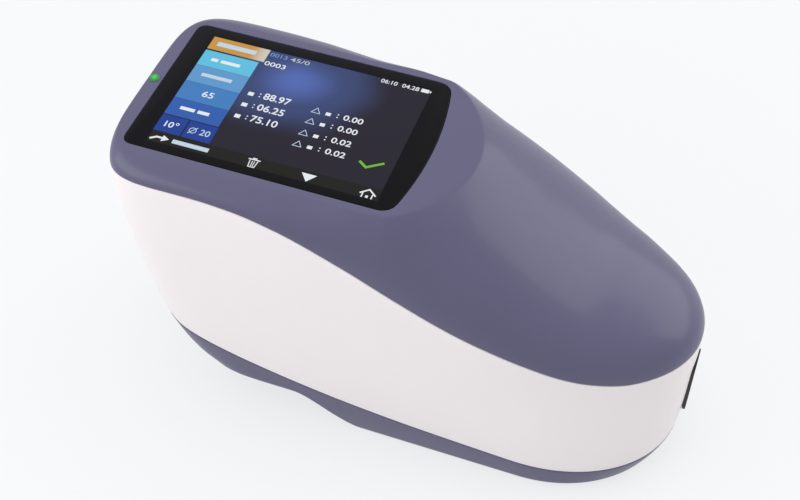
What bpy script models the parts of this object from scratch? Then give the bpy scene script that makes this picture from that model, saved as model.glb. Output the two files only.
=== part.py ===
"""Portable spectrophotometer.

Metres, +Z up. The origin lies on the bench plane under the middle of the instrument. X runs along
the body, with the screen end at -X and the nose at +X, and the body is alike on both sides of y = 0.
"""

import math

import bmesh
import bpy
from mathutils import Matrix, Vector

# Overall body
BODY_LENGTH = 0.184
BODY_WIDTH = 0.077
PLATEAU_HEIGHT = 0.1055
WALL = 0.0022
LIP_SHARE = 0.5
SEAM_GAP = 0.0003
CLEARANCE = 0.0003
CUT_OVERRUN = 0.003
SIDE_TUCK = 0.0025
END_LEAN = 0.028
END_DEPTH = 0.034
NOSE_TUCK = 0.0075
NOSE_RUN = 0.072
NOSE_START_RUN = 0.026
END_POWER = 5.2
END_CROWD_SHARE = 0.62
NOSE_POWER = 2.08
NOSE_STATIONS = 10
SIDE_STATIONS = 13
END_STATIONS = 10
SIDE_CROWD = 1.35

# Height share of the plateau, then share of the tuck, lean or run
end_lean_shares = [(0, 1), (0.1232, 0.89), (0.1873, 0.64), (0.2563, 0.47), (0.3302, 0.355), (0.4732, 0.22),
                   (0.7098, 0.07), (0.8675, 0), (1, 0)]
nose_tuck_shares = [(0, 1), (0.0296, 0.5), (0.0986, 0.16), (0.2957, 0.02), (0.4929, 0), (0.6703, 0.1),
                    (1, 0.3)]
nose_start_shares = [(0, 1), (0.0986, 0.85), (0.5027, 0), (1, 0)]
side_tuck_shares = [(0, 1), (0.1134, 0.5), (0.5225, 0.1), (0.7098, 0), (0.9069, 0.2), (1, 0.3)]

# Seams and crown: share of the half length, then share of the plateau height
upper_seam_shares = [(-1, 0.9385), (-0.65, 0.9464), (-0.52, 0.9385), (-0.37, 0.9099), (-0.13, 0.8261),
                     (0.033, 0.7561), (0.196, 0.69), (0.36, 0.6348), (0.49, 0.5895), (0.6, 0.5501),
                     (0.7, 0.5235), (0.83, 0.5052), (1, 0.5072)]
lower_seam_shares = [(-0.89, 0.3362), (-0.8, 0.3081), (-0.72, 0.2859), (-0.62, 0.2563), (-0.52, 0.2297),
                     (-0.34, 0.1912), (-0.15, 0.1602), (0.11, 0.1327), (0.435, 0.1119), (0.65, 0.0996),
                     (1, 0.09)]
crest_shares = [(-1, 1.0161), (-0.6522, 1.019), (-0.3261, 1.0445), (-0.1087, 1.0673), (-0.0272, 1.0673),
                (0.0402, 1.0559), (0.0957, 1.0379), (0.1402, 1.0199), (0.1815, 1), (0.3261, 0.9081),
                (0.4891, 0.8019), (0.6522, 0.7128), (0.8152, 0.6578), (1, 0.6209)]
# Share of the half length, then the power of the cross-section's shoulder
crown_power_shares = [(-1, 6.2), (-0.6522, 3.9), (-0.3261, 3), (-0.1087, 3.5), (-0.0272, 3.5), (0.0402, 2.9),
                (0.0957, 2.4), (0.1402, 2.15), (0.1815, 2), (0.6522, 2), (0.8152, 2.5), (1, 3.4)]
CROWN_RINGS = 10
SPINE_END_RUN = 0.008
SPINE_NOSE_RUN = 0.026
SEAM_PASSES = 16
MERGE_DISTANCE = 0.000003
SAME_POINT_DISTANCE = 0.00003

# Shell joints
TONGUE_HEIGHT = 0.0012
BAND_LEVELS = 4

# Underside
FOOT_HEIGHT = 0.0006
END_RISE = 0.0125
STEP_START_RUN = 0.059
STEP_RUN = 0.024
FLOOR = 0.0025
EDGE_RADIUS = 0.0022
BASE_LEVELS = 4
EDGE_STEPS = 3

# Screen
GLASS_END_MARGIN = 0.0053
GLASS_LENGTH = 0.0855
GLASS_SIDE_MARGIN = 0.0105
SCREEN_RUN = 0.0433
GLASS_BULGE = 0.0037
GLASS_THICKNESS = 0.0013
GLASS_EDGE = 0.0003
GLASS_CORNER = 0.0034
GLASS_NOSE_CORNER = 0.0054
GLASS_ARC_STEPS = 10
GLUE_GAP = 0.0003
LEDGE_THICKNESS = 0.0018
LEDGE_MARGIN = 0.0022
DISPLAY_LENGTH = 0.0765
DISPLAY_SIDE_MARGIN = 0.002
DISPLAY_THICKNESS = 0.0028
WINDOW_MARGIN = 0.0005
WINDOW_CORNER = 0.0010

# Status light
LED_MARGIN = 0.0032
LED_RADIUS = 0.0012
LED_HOLE_MARGIN = 0.0003
LED_DOME = 0.0005
LED_PIPE_LENGTH = 0.0076
LED_FOOT_SHARE = 0.9

# Display bracket
BRACKET_END_MARGIN = 0.0065
BRACKET_LENGTH = 0.0835
BRACKET_SIDE_MARGIN = 0.0085
BRACKET_PLATE = 0.0030
BRACKET_CORNER = 0.0065
BRACKET_WINDOW_LENGTH = 0.052
BRACKET_WINDOW_MARGIN = 0.009
BRACKET_WINDOW_CORNER = 0.00325
RIBBON_SLOT_DEPTH = 0.0044
BOARD_POST_RADIUS = 0.0030
BOARD_POST_LENGTH = 0.0080
board_post_shares = [(-0.41, -0.42), (-0.41, 0.42), (0.4, -0.42), (0.4, 0.42)]

# Main board
BOARD_LENGTH = 0.074
BOARD_SIDE_MARGIN = 0.010
BOARD_THICKNESS = 0.0016
BOARD_RUN = 0.048
CHIP_HEIGHT = 0.0016
SHIELD_HEIGHT = 0.0026
CONNECTOR_HEIGHT = 0.0024
BUZZER_RADIUS = 0.0055
BUZZER_HEIGHT = 0.0030
# Centre and size shares of the board's length and width, then which height
board_part_shares = [(-0.1, 0.0, 0.3, 0.34, "shield"), (0.18, 0.2, 0.14, 0.18, "chip"),
                     (0.18, -0.18, 0.12, 0.2, "chip"), (-0.36, -0.16, 0.1, 0.2, "chip"),
                     (0.36, 0.12, 0.07, 0.3, "socket")]
BUZZER_RUN = 0.0215
BUZZER_Y = 0.0130

# Screws
SCREW_TIP_SHARE = 0.5
SCREW_HEAD_EDGE_SHARE = 0.5
SCREW_HEAD_FACE_SHARE = 0.8
BOARD_SCREW_RADIUS = 0.0009
BOARD_SCREW_HEAD = 0.0018
BOARD_SCREW_HEAD_HEIGHT = 0.0011
BOARD_SCREW_LENGTH = 0.0060
CASE_SCREW_RADIUS = 0.0013
CASE_SCREW_HEAD = 0.0024
CASE_SCREW_HEAD_HEIGHT = 0.0018
CASE_SCREW_LENGTH = 0.0160
CASE_SCREW_BITE = 0.0080
SCREW_HOLE_ROOM = 0.0022
POST_RADIUS = 0.0035
POST_TIP_RADIUS = 0.0030
NOSE_POST_RUN = 0.035
NOSE_POST_MARGIN = 0.00774
NOSE_POST_SPLIT = 0.0225
MIDDLE_POST_RUN = 0.095
MIDDLE_POST_MARGIN = 0.00745
MIDDLE_POST_SPLIT = 0.0450

# Measuring port
PORT_RUN = 0.045
PORT_BOSS_RADIUS = 0.0182
PORT_BORE_RADIUS = 0.0150
SEAL_OUTER_RADIUS = 0.0178
SEAL_INNER_RADIUS = 0.0157
SEAL_GROOVE = 0.0012
APERTURE_RADIUS = 0.0100
APERTURE_FACE_LIFT = 0.0005
APERTURE_FLANGE = 0.0018
APERTURE_EDGE = 0.0006
APERTURE_SLEEVE_OUTER = 0.0128
APERTURE_SLEEVE_INNER = 0.0115
APERTURE_SLEEVE_HEIGHT = 0.0076
LUG_COUNT = 3
LUG_HEIGHT = 0.0016
LUG_ANGLE = math.radians(26)
LEDGE_HEIGHT = 0.0014
GRIP_NOTCH_RADIUS = 0.0012
GRIP_NOTCH_OFFSET = 0.0006

# Optics
OPTICS_FLANGE_RADIUS = 0.0182
OPTICS_FLANGE = 0.0025
OPTICS_WAIST_RADIUS = 0.0172
OPTICS_SHOULDER_RADIUS = 0.0258
OPTICS_SHOULDER_LOW = 0.0225
OPTICS_TABLE = 0.0280
OPTICS_NECK_RADIUS = 0.0115
OPTICS_TOP = 0.0440
OPTICS_BORE_RADIUS = 0.0065
OPTICS_CONE_TOP = 0.0250
PORT_GLASS_RADIUS = 0.0132
PORT_GLASS_THICKNESS = 0.0012
PORT_GLASS_SEAT = 0.0010
LIGHT_COUNT = 8
LIGHT_RING_RADIUS = 0.0205
LIGHT_CHANNEL_RADIUS = 0.0022
LIGHT_CHANNEL_SHARE = 0.62
LIGHT_CHIP_SIZE = 0.0026
LIGHT_CHIP_HEIGHT = 0.0007
RING_BOARD_RADIUS = 0.0262
RING_BOARD_THICKNESS = 0.0016
TUBE_RADIUS = 0.0095
TUBE_BORE_RADIUS = 0.0080
TUBE_FLANGE_RADIUS = 0.0125
TUBE_FLANGE = 0.0020
LENS_THICKNESS = 0.0050
LENS_EDGE = 0.0020
LENS_LIFT = 0.0040
LENS_STEPS = 6
LENS_SEAT = 0.0010

# Chassis
CHASSIS_UNDERSIDE = 0.0590
CHASSIS_PLATE = 0.0025
CHASSIS_END_MARGIN = 0.024
CHASSIS_LENGTH = 0.084
CHASSIS_SIDE_MARGIN = 0.0125
CHASSIS_BAR_RUN = 0.016
CHASSIS_BAR_WIDTH = 0.0100
CHASSIS_CORNER = 0.0080
LEG_RADIUS = 0.0030
END_LEG_MARGIN = 0.0085
NOSE_LEG_RUN = 0.007
NOSE_LEG_Y = 0.0130

# Spectrometer
TRAY_END_RUN = 0.005
TRAY_LENGTH = 0.067
TRAY_SIDE_MARGIN = 0.004
TRAY_HEIGHT = 0.0165
TRAY_FLOOR = 0.0020
TRAY_WALL = 0.0020
LID_THICKNESS = 0.0018
TRAY_POST_RADIUS = 0.0028
MIRROR_SIZE = 0.0110
SLIT_RUN = 0.026
SLIT_WIDTH = 0.0130
SLIT_HEIGHT = 0.0120
SLIT_THICKNESS = 0.0006
SLIT_OPENING_WIDTH = 0.0006
SLIT_OPENING_HEIGHT = 0.0070
GRATING_RUN = 0.010
GRATING_WIDTH = 0.0150
GRATING_HEIGHT = 0.0120
GRATING_THICKNESS = 0.0050
GRATING_TURN = math.radians(9)
SENSOR_RUN = 0.006
SENSOR_SIDE_MARGIN = 0.0098
SENSOR_LENGTH = 0.0115
SENSOR_HEIGHT = 0.0120
SENSOR_THICKNESS = 0.0014
SENSOR_CHIP_LENGTH = 0.0095
SENSOR_CHIP_HEIGHT = 0.0040
SENSOR_CHIP_THICKNESS = 0.0016

# Battery
BAY_START_RUN = 0.094
BAY_NOSE_MARGIN = 0.026
BAY_SIDE_MARGIN = 0.0205
BAY_HEIGHT = 0.0190
BAY_WALL = 0.0016
BAY_FLANGE_RUN = 0.0032
BATTERY_END_ROOM = 0.004
BATTERY_SIDE_ROOM = 0.0005
BATTERY_EDGE = 0.0022
DOOR_MARGIN = 0.0030
DOOR_THICKNESS = 0.0018
DOOR_CORNER = 0.0030
DOOR_GRIP_LENGTH = 0.0100
DOOR_GRIP_WIDTH = 0.0016
DOOR_GRIP_DEPTH = 0.0006
DOOR_GRIP_COUNT = 3
DOOR_GRIP_PITCH = 0.0028
DOOR_HOOK_WIDTH = 0.0080
DOOR_HOOK_THICKNESS = 0.0012
DOOR_HOOK_HEIGHT = 0.0026
CONTACT_DEPTH = 0.0022
CONTACT_HEIGHT = 0.0080
CONTACT_WIDTH = 0.0160
CONTACT_COUNT = 3
CONTACT_BLADE_WIDTH = 0.0020
CONTACT_BLADE_DEPTH = 0.0006
CONTACT_BLADE_HEIGHT = 0.0050

# Feet
PAD_RADIUS = 0.0045
PAD_GROOVE = 0.0010
FRONT_PAD_RUN = 0.0175
FRONT_PAD_MARGIN = 0.0255
REAR_PAD_RUN = 0.106
REAR_PAD_MARGIN = 0.010

# Nose panel
PANEL_HEIGHT = 0.0276
PANEL_WIDTH = 0.0092
PANEL_CENTRE_Z = 0.0308
PANEL_RIM = 0.0009
PANEL_RIM_PROUD = 0.0005
PANEL_EDGE = 0.0003
PANEL_RIM_THICKNESS = 0.0011
PANEL_RECESS = 0.0020
PANEL_BODY_DEPTH = 0.0042
PANEL_BODY_INSET = 0.0007
SWITCH_TRAVEL = 0.0040
SWITCH_KNOB_HEIGHT = 0.0088
SWITCH_KNOB_WIDTH = 0.0058
SWITCH_KNOB_DEPTH = 0.0016
SWITCH_TOP_GAP = 0.0014
SWITCH_STEM_HEIGHT = 0.0030
SWITCH_STEM_WIDTH = 0.0022
SWITCH_RIB_COUNT = 6
SWITCH_RIB_DEPTH = 0.0005
SWITCH_BODY_HEIGHT = 0.0110
SWITCH_BODY_WIDTH = 0.0070
SWITCH_BODY_DEPTH = 0.0040
USB_HEIGHT = 0.0082
USB_WIDTH = 0.0034
USB_WALL = 0.0004
USB_LIFT = 0.0022
USB_DEPTH = 0.0060
USB_TONGUE_THICKNESS = 0.0007
USB_FRONT_GAP = 0.0003
USB_TONGUE_INSET = 0.0012
USB_TONGUE_SETBACK = 0.0004
USB_TONGUE_ROOT = 0.0004
PORT_BOARD_RUN = 0.0115
PORT_BOARD_THICKNESS = 0.0016
PORT_BOARD_WIDTH = 0.0130
PORT_BOARD_LOW = 0.0140
PORT_BOARD_HEIGHT = 0.0320
GUIDE_WIDTH = 0.0170
GUIDE_DEPTH = 0.0052
GUIDE_TOP = 0.0180

# Measuring key
KEY_RUN = 0.070
KEY_Z = 0.0640
KEY_LENGTH = 0.0220
KEY_WIDTH = 0.0090
KEY_TRAVEL = 0.0010
KEY_CAP_DEPTH = 0.0034
KEY_FLANGE = 0.0014
KEY_FLANGE_THICKNESS = 0.0010
KEY_STEM_RADIUS = 0.0020
KEY_STEM_LENGTH = 0.0012
KEY_SWITCH_GAP = 0.0002
KEY_EDGE = 0.0005
TACT_SIZE = 0.0060
TACT_HEIGHT = 0.0022
KEY_BOARD_LENGTH = 0.0340
KEY_BOARD_HEIGHT = 0.0140
KEY_BOARD_THICKNESS = 0.0012
KEY_POST_SHARE = 0.427
KEY_POST_RADIUS = 0.0016

# Ribbons
RIBBON_THICKNESS = 0.0004
DISPLAY_RIBBON_WIDTH = 0.0160
DISPLAY_RIBBON_BEND = 0.0022
DISPLAY_RIBBON_RUN = 0.00055
PORT_RIBBON_WIDTH = 0.0060
PORT_RIBBON_STEPS = 22
RIBBON_PIECE_STEPS = 8
RIBBON_START_DROP = 0.0009
RIBBON_BEND = 0.0042
RIBBON_DIP = 0.0046
RIBBON_SAG = 0.0092
RIBBON_CHASSIS_GAP = 0.008
RIBBON_BOARD_GAP = 0.0024

ROUND_STEPS = 28
SMALL_STEPS = 14
TINY_STEPS = 10


def smooth_curve(points):
    """A function through hand-picked (position, value) pairs that doesn't overshoot between them."""
    places = [place for place, value in points]
    values = [value for place, value in points]
    steps = [after - before for before, after in zip(places, places[1:])]
    slopes = [(after - before) / step for before, after, step in zip(values, values[1:], steps)]
    tangents = [slopes[0]]
    for before, after in zip(slopes, slopes[1:]):
        turning = before * after <= 0
        tangents.append(0 if turning else 2 * before * after / (before + after))
    tangents.append(slopes[-1])

    def value_at(place):
        place = min(max(place, places[0]), places[-1])
        k = max(index for index in range(len(steps)) if places[index] <= place)
        t = (place - places[k]) / steps[k]
        start = values[k] * (1 + 2 * t) * (1 - t) ** 2 + tangents[k] * steps[k] * t * (1 - t) ** 2
        finish = values[k + 1] * (3 - 2 * t) * t ** 2 - tangents[k + 1] * steps[k] * (1 - t) * t ** 2
        return start + finish

    return value_at


HALF_LENGTH = BODY_LENGTH / 2
END_LEAN_CURVE = smooth_curve(end_lean_shares)
NOSE_TUCK_CURVE = smooth_curve(nose_tuck_shares)
NOSE_START_CURVE = smooth_curve(nose_start_shares)
SIDE_TUCK_CURVE = smooth_curve(side_tuck_shares)
UPPER_SEAM_CURVE = smooth_curve(upper_seam_shares)
LOWER_SEAM_CURVE = smooth_curve(lower_seam_shares)
CREST_CURVE = smooth_curve(crest_shares)
CROWN_POWER_CURVE = smooth_curve(crown_power_shares)


def end_x(z):
    return -HALF_LENGTH + END_LEAN * END_LEAN_CURVE(z / PLATEAU_HEIGHT)


def tip_x(z):
    return HALF_LENGTH - PANEL_RIM_PROUD - NOSE_TUCK * NOSE_TUCK_CURVE(z / PLATEAU_HEIGHT)


def nose_start_x(z):
    return HALF_LENGTH - NOSE_RUN + NOSE_START_RUN * NOSE_START_CURVE(z / PLATEAU_HEIGHT)


def side_y(z):
    return BODY_WIDTH / 2 - SIDE_TUCK * SIDE_TUCK_CURVE(z / PLATEAU_HEIGHT)


def upper_seam(x):
    return PLATEAU_HEIGHT * UPPER_SEAM_CURVE(x / HALF_LENGTH)


def lower_seam(x):
    return PLATEAU_HEIGHT * LOWER_SEAM_CURVE(x / HALF_LENGTH)


def crest(x):
    return PLATEAU_HEIGHT * CREST_CURVE(x / HALF_LENGTH)


def crown_power(x):
    return CROWN_POWER_CURVE(x / HALF_LENGTH)


def underside(x):
    """Height of the base's underside: raised below the screen, with a smooth step down to the foot."""
    t = min(max((x - STEP_START_X) / (STEP_FINISH_X - STEP_START_X), 0), 1)
    return END_RISE + (FOOT_HEIGHT - END_RISE) * t * t * (3 - 2 * t)


FRONT_X = HALF_LENGTH
SPINE_END_X = SPINE_END_RUN - HALF_LENGTH
SPINE_NOSE_X = HALF_LENGTH - SPINE_NOSE_RUN
STEP_START_X = STEP_START_RUN - HALF_LENGTH
STEP_FINISH_X = STEP_START_X + STEP_RUN
GLASS_END_X = GLASS_END_MARGIN - HALF_LENGTH
GLASS_CORNER_X = GLASS_END_X + GLASS_LENGTH
GLASS_WIDTH = BODY_WIDTH - 2 * GLASS_SIDE_MARGIN
SCREEN_X = GLASS_END_X + SCREEN_RUN
DISPLAY_WIDTH = GLASS_WIDTH - 2 * DISPLAY_SIDE_MARGIN
LED_X = LED_MARGIN - HALF_LENGTH
BRACKET_END_X = BRACKET_END_MARGIN - HALF_LENGTH
BRACKET_NOSE_X = BRACKET_END_X + BRACKET_LENGTH
BRACKET_WIDTH = BODY_WIDTH - 2 * BRACKET_SIDE_MARGIN
BRACKET_WINDOW_WIDTH = DISPLAY_WIDTH - 2 * BRACKET_WINDOW_MARGIN
BOARD_CENTRE_X = BOARD_RUN - HALF_LENGTH
BOARD_WIDTH = BODY_WIDTH - 2 * BOARD_SIDE_MARGIN
BUZZER_X = BUZZER_RUN - HALF_LENGTH
NOSE_POST_X = HALF_LENGTH - NOSE_POST_RUN
MIDDLE_POST_X = MIDDLE_POST_RUN - HALF_LENGTH
PORT_X = PORT_RUN - HALF_LENGTH
CHASSIS_END_X = CHASSIS_END_MARGIN - HALF_LENGTH
CHASSIS_NOSE_X = CHASSIS_END_X + CHASSIS_LENGTH
CHASSIS_WIDTH = BODY_WIDTH - 2 * CHASSIS_SIDE_MARGIN
CHASSIS_BAR_X = CHASSIS_END_X + CHASSIS_BAR_RUN
END_LEG_Y = BODY_WIDTH / 2 - END_LEG_MARGIN
NOSE_LEG_X = CHASSIS_NOSE_X - NOSE_LEG_RUN
TRAY_END_X = CHASSIS_END_X + TRAY_END_RUN
TRAY_NOSE_X = TRAY_END_X + TRAY_LENGTH
TRAY_WIDTH = CHASSIS_WIDTH - 2 * TRAY_SIDE_MARGIN
SLIT_X = TRAY_END_X + SLIT_RUN
GRATING_X = TRAY_NOSE_X - GRATING_RUN
SENSOR_X = TRAY_END_X + SENSOR_RUN
SENSOR_Y = SENSOR_SIDE_MARGIN - TRAY_WIDTH / 2
BAY_START_X = BAY_START_RUN - HALF_LENGTH
BAY_END_X = HALF_LENGTH - BAY_NOSE_MARGIN
BAY_LENGTH = BAY_END_X - BAY_START_X
BAY_WIDTH = BODY_WIDTH - 2 * BAY_SIDE_MARGIN
BATTERY_LENGTH = BAY_LENGTH - BATTERY_END_ROOM
BATTERY_WIDTH = BAY_WIDTH - 2 * BATTERY_SIDE_ROOM
FRONT_PAD_X = HALF_LENGTH - FRONT_PAD_RUN
FRONT_PAD_Y = BODY_WIDTH / 2 - FRONT_PAD_MARGIN
REAR_PAD_X = REAR_PAD_RUN - HALF_LENGTH
REAR_PAD_Y = BODY_WIDTH / 2 - REAR_PAD_MARGIN
PORT_BOARD_X = HALF_LENGTH - PORT_BOARD_RUN
KEY_X = KEY_RUN - HALF_LENGTH
PLATEAU_INNER = PLATEAU_HEIGHT - WALL
GLASS_SEAT = PLATEAU_HEIGHT - GLASS_THICKNESS - GLUE_GAP
LEDGE_UNDERSIDE = GLASS_SEAT - LEDGE_THICKNESS
DISPLAY_TOP = GLASS_SEAT
DISPLAY_UNDERSIDE = DISPLAY_TOP - DISPLAY_THICKNESS
BRACKET_SEAT = DISPLAY_UNDERSIDE - CLEARANCE
BRACKET_TOP = LEDGE_UNDERSIDE - CLEARANCE
BRACKET_UNDERSIDE = BRACKET_SEAT - BRACKET_PLATE
BOARD_TOP = BRACKET_UNDERSIDE - BOARD_POST_LENGTH - CLEARANCE
BOARD_UNDERSIDE = BOARD_TOP - BOARD_THICKNESS
LIP = WALL * LIP_SHARE
BASE_FLOOR_TOP = END_RISE + FLOOR
FOOT_FLOOR_TOP = FOOT_HEIGHT + FLOOR
OPTICS_LOW = BASE_FLOOR_TOP + CLEARANCE
TUBE_LOW = OPTICS_TOP + CLEARANCE
CHASSIS_TOP = CHASSIS_UNDERSIDE + CHASSIS_PLATE
TRAY_LOW = CHASSIS_TOP + CLEARANCE
TRAY_TOP = TRAY_LOW + TRAY_HEIGHT
LID_LOW = TRAY_TOP + CLEARANCE
DOOR_POCKET_TOP = FOOT_HEIGHT + DOOR_THICKNESS + CLEARANCE
BAY_FLANGE_TOP = DOOR_POCKET_TOP + FLOOR
BAY_ROOF_TOP = BAY_HEIGHT + BAY_WALL
PANEL_BACK_X = FRONT_X - PANEL_RIM_THICKNESS
PANEL_FLOOR_X = FRONT_X - PANEL_RECESS
PANEL_BODY_BACK_X = FRONT_X - PANEL_BODY_DEPTH
PORT_BOARD_FRONT_X = PORT_BOARD_X + PORT_BOARD_THICKNESS

stations = (
    [("nose", k / NOSE_STATIONS) for k in range(NOSE_STATIONS)]
    + [("side", 1 - (1 - k / SIDE_STATIONS) ** SIDE_CROWD) for k in range(SIDE_STATIONS)]
    + [("end", k / END_STATIONS) for k in range(END_STATIONS + 1)]
)


def station_xy(station, z, inset):
    """Plan place of a station of the half outline, from the nose's tip to the middle of the screen end."""
    stretch, share = station
    nose_start = nose_start_x(z)
    end_start = end_x(z) + END_DEPTH
    half_width = side_y(z) - inset
    if stretch == "side":
        return nose_start + (end_start - nose_start) * share, half_width
    angle = share * math.pi / 2
    if stretch == "nose":
        reach = tip_x(z) - inset - nose_start
        x = nose_start + reach * math.cos(angle) ** (2 / NOSE_POWER)
        return x, half_width * math.sin(angle) ** (2 / NOSE_POWER)
    across = max(math.cos(angle), 0) ** END_CROWD_SHARE
    along = math.sin(angle) ** END_CROWD_SHARE
    if share == 1:
        across = 0
    radius = (across ** END_POWER + along ** END_POWER) ** (-1 / END_POWER)
    return end_start - (END_DEPTH - inset) * along * radius, half_width * across * radius


def level_point(station, height_of, inset):
    """Place of a station where the wall meets a height that depends on x."""
    z = height_of(0)
    for _ in range(SEAM_PASSES):
        z = height_of(station_xy(station, z, 0)[0])
    x, y = station_xy(station, z, inset)
    return x, y, z


def side_half_width(x, z):
    """Half width of the outer wall at x, along the sides and the nose."""
    start = nose_start_x(z)
    share = max(x - start, 0) / (tip_x(z) - start)
    return side_y(z) * (1 - share ** NOSE_POWER) ** (1 / NOSE_POWER)


root = None
parts = None
cutters = None


def start_scene():
    """Clears the scene and makes the collections and the parent empty."""
    global root, parts, cutters
    for obj in list(bpy.data.objects):
        bpy.data.objects.remove(obj)
    parts = bpy.data.collections.new("portable_spectrophotometer")
    cutters = bpy.data.collections.new("cutters")
    for collection in (parts, cutters):
        bpy.context.scene.collection.children.link(collection)
    root = bpy.data.objects.new("instrument", None)
    parts.objects.link(root)


def make_material(name, colour, roughness, metallic=0):
    material = bpy.data.materials.new(name)
    material.use_nodes = True
    shader = material.node_tree.nodes["Principled BSDF"]
    shader.inputs["Base Color"].default_value = (*colour, 1)
    shader.inputs["Roughness"].default_value = roughness
    shader.inputs["Metallic"].default_value = metallic
    return material


def add_object(name, mesh, place=(0, 0, 0)):
    obj = bpy.data.objects.new(name, mesh)
    obj.location = place
    parts.objects.link(obj)
    obj.parent = root
    return obj


def finish_mesh(name, shape, smooth_angle=math.radians(24)):
    mesh = bpy.data.meshes.new(name)
    shape.to_mesh(mesh)
    shape.free()
    mesh.shade_smooth()
    mesh.set_sharp_from_angle(angle=smooth_angle)
    return mesh


def as_helper(obj):
    """Moves an object to the cutters, out of the render."""
    if obj.name in parts.objects:
        parts.objects.unlink(obj)
        cutters.objects.link(obj)
    obj.hide_render = True
    obj.display_type = "WIRE"
    return obj


def combine(target, other, operation):
    modifier = target.modifiers.new(other.name, "BOOLEAN")
    modifier.operation = operation
    modifier.object = as_helper(other)
    return target


def cut(target, *others):
    for other in others:
        combine(target, other, "DIFFERENCE")
    return target


def join(target, *others):
    for other in others:
        combine(target, other, "UNION")
    return target


def box(name, low, high, edge=0):
    """A box between two corners, with its origin at its middle."""
    middle = [(a + b) / 2 for a, b in zip(low, high)]
    size = [b - a for a, b in zip(low, high)]
    shape = bmesh.new()
    bmesh.ops.create_cube(shape, size=1, matrix=Matrix.Diagonal((*size, 1)))
    obj = add_object(name, finish_mesh(name, shape), middle)
    if edge:
        bevel = obj.modifiers.new("edges", "BEVEL")
        bevel.width = edge
        bevel.segments = 2
    return obj


def cylinder(name, place, radius, length, steps=ROUND_STEPS, tip_radius=None, turn=None):
    """A cylinder that starts at place and runs along +Z, or along the turned axis."""
    shape = bmesh.new()
    bmesh.ops.create_cone(shape, cap_ends=True, segments=steps, radius1=radius,
                          radius2=radius if tip_radius is None else tip_radius, depth=length,
                          matrix=Matrix.Translation((0, 0, length / 2)))
    obj = add_object(name, finish_mesh(name, shape), place)
    if turn:
        obj.rotation_euler = turn
    return obj


def turned(name, place, profile, steps=ROUND_STEPS):
    """A closed profile of (radius, height) points turned about Z."""
    shape = bmesh.new()
    points = [shape.verts.new((radius, 0, height)) for radius, height in profile]
    for before, after in zip(points, points[1:] + points[:1]):
        shape.edges.new((before, after))
    mesh = bpy.data.meshes.new(name)
    shape.to_mesh(mesh)
    shape.free()
    obj = add_object(name, mesh, place)
    screw = obj.modifiers.new("turn", "SCREW")
    screw.steps = steps
    screw.render_steps = steps
    screw.use_merge_vertices = True
    screw.merge_threshold = MERGE_DISTANCE
    screw.use_smooth_shade = False
    return obj


def prism(name, outline, thickness, place=(0, 0, 0), turn=None, edge=0):
    """A flat outline raised by a thickness along its own Z, its raised face's edge rounded if asked."""
    shape = bmesh.new()
    face = shape.faces.new([shape.verts.new((x, y, 0)) for x, y in outline])
    face.normal_update()
    if face.normal.z > 0:
        face.normal_flip()
    raised = bmesh.ops.extrude_face_region(shape, geom=[face])
    moved = [item for item in raised["geom"] if isinstance(item, bmesh.types.BMVert)]
    bmesh.ops.translate(shape, verts=moved, vec=(0, 0, thickness))
    if edge:
        rim = [item for item in shape.edges if all(vertex in moved for vertex in item.verts)]
        bmesh.ops.bevel(shape, geom=rim, offset=edge, segments=2, profile=0.5, affect="EDGES")
    bmesh.ops.recalc_face_normals(shape, faces=shape.faces)
    obj = add_object(name, finish_mesh(name, shape), place)
    if turn:
        obj.rotation_euler = turn
    return obj


def rounded_outline(length, width, radius, steps=SMALL_STEPS):
    """A rectangle about its middle with round corners; a radius of half the width gives an oblong."""
    points = []
    quarter = steps // 4
    for k, (sx, sy) in enumerate(((1, 1), (-1, 1), (-1, -1), (1, -1))):
        for step in range(quarter + 1):
            angle = (k + step / quarter) * math.pi / 2
            x = sx * (length / 2 - radius) + radius * math.cos(angle)
            y = sy * (width / 2 - radius) + radius * math.sin(angle)
            points.append((x, y))
    return [point for k, point in enumerate(points) if math.dist(point, points[k - 1]) > SAME_POINT_DISTANCE]


def half_loft(name, chains, closed_chain, mirrored=True):
    """A surface over matching chains of points on the +Y side, closed by its mirror image."""
    shape = bmesh.new()
    rows = [[shape.verts.new(point) for point in chain] for chain in chains]
    for row, following in zip(rows, rows[1:]):
        count = len(row)
        for k in range(count if closed_chain else count - 1):
            after = (k + 1) % count
            shape.faces.new((row[k], row[after], following[after], following[k]))
    bmesh.ops.remove_doubles(shape, verts=shape.verts, dist=MERGE_DISTANCE)
    bmesh.ops.dissolve_degenerate(shape, edges=shape.edges, dist=MERGE_DISTANCE)
    bmesh.ops.recalc_face_normals(shape, faces=shape.faces)
    mesh = finish_mesh(name, shape)
    obj = add_object(name, mesh)
    if mirrored:
        mirror = obj.modifiers.new("other side", "MIRROR")
        mirror.use_axis = (False, True, False)
        mirror.use_clip = True
        mirror.merge_threshold = MERGE_DISTANCE
    return obj


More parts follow.
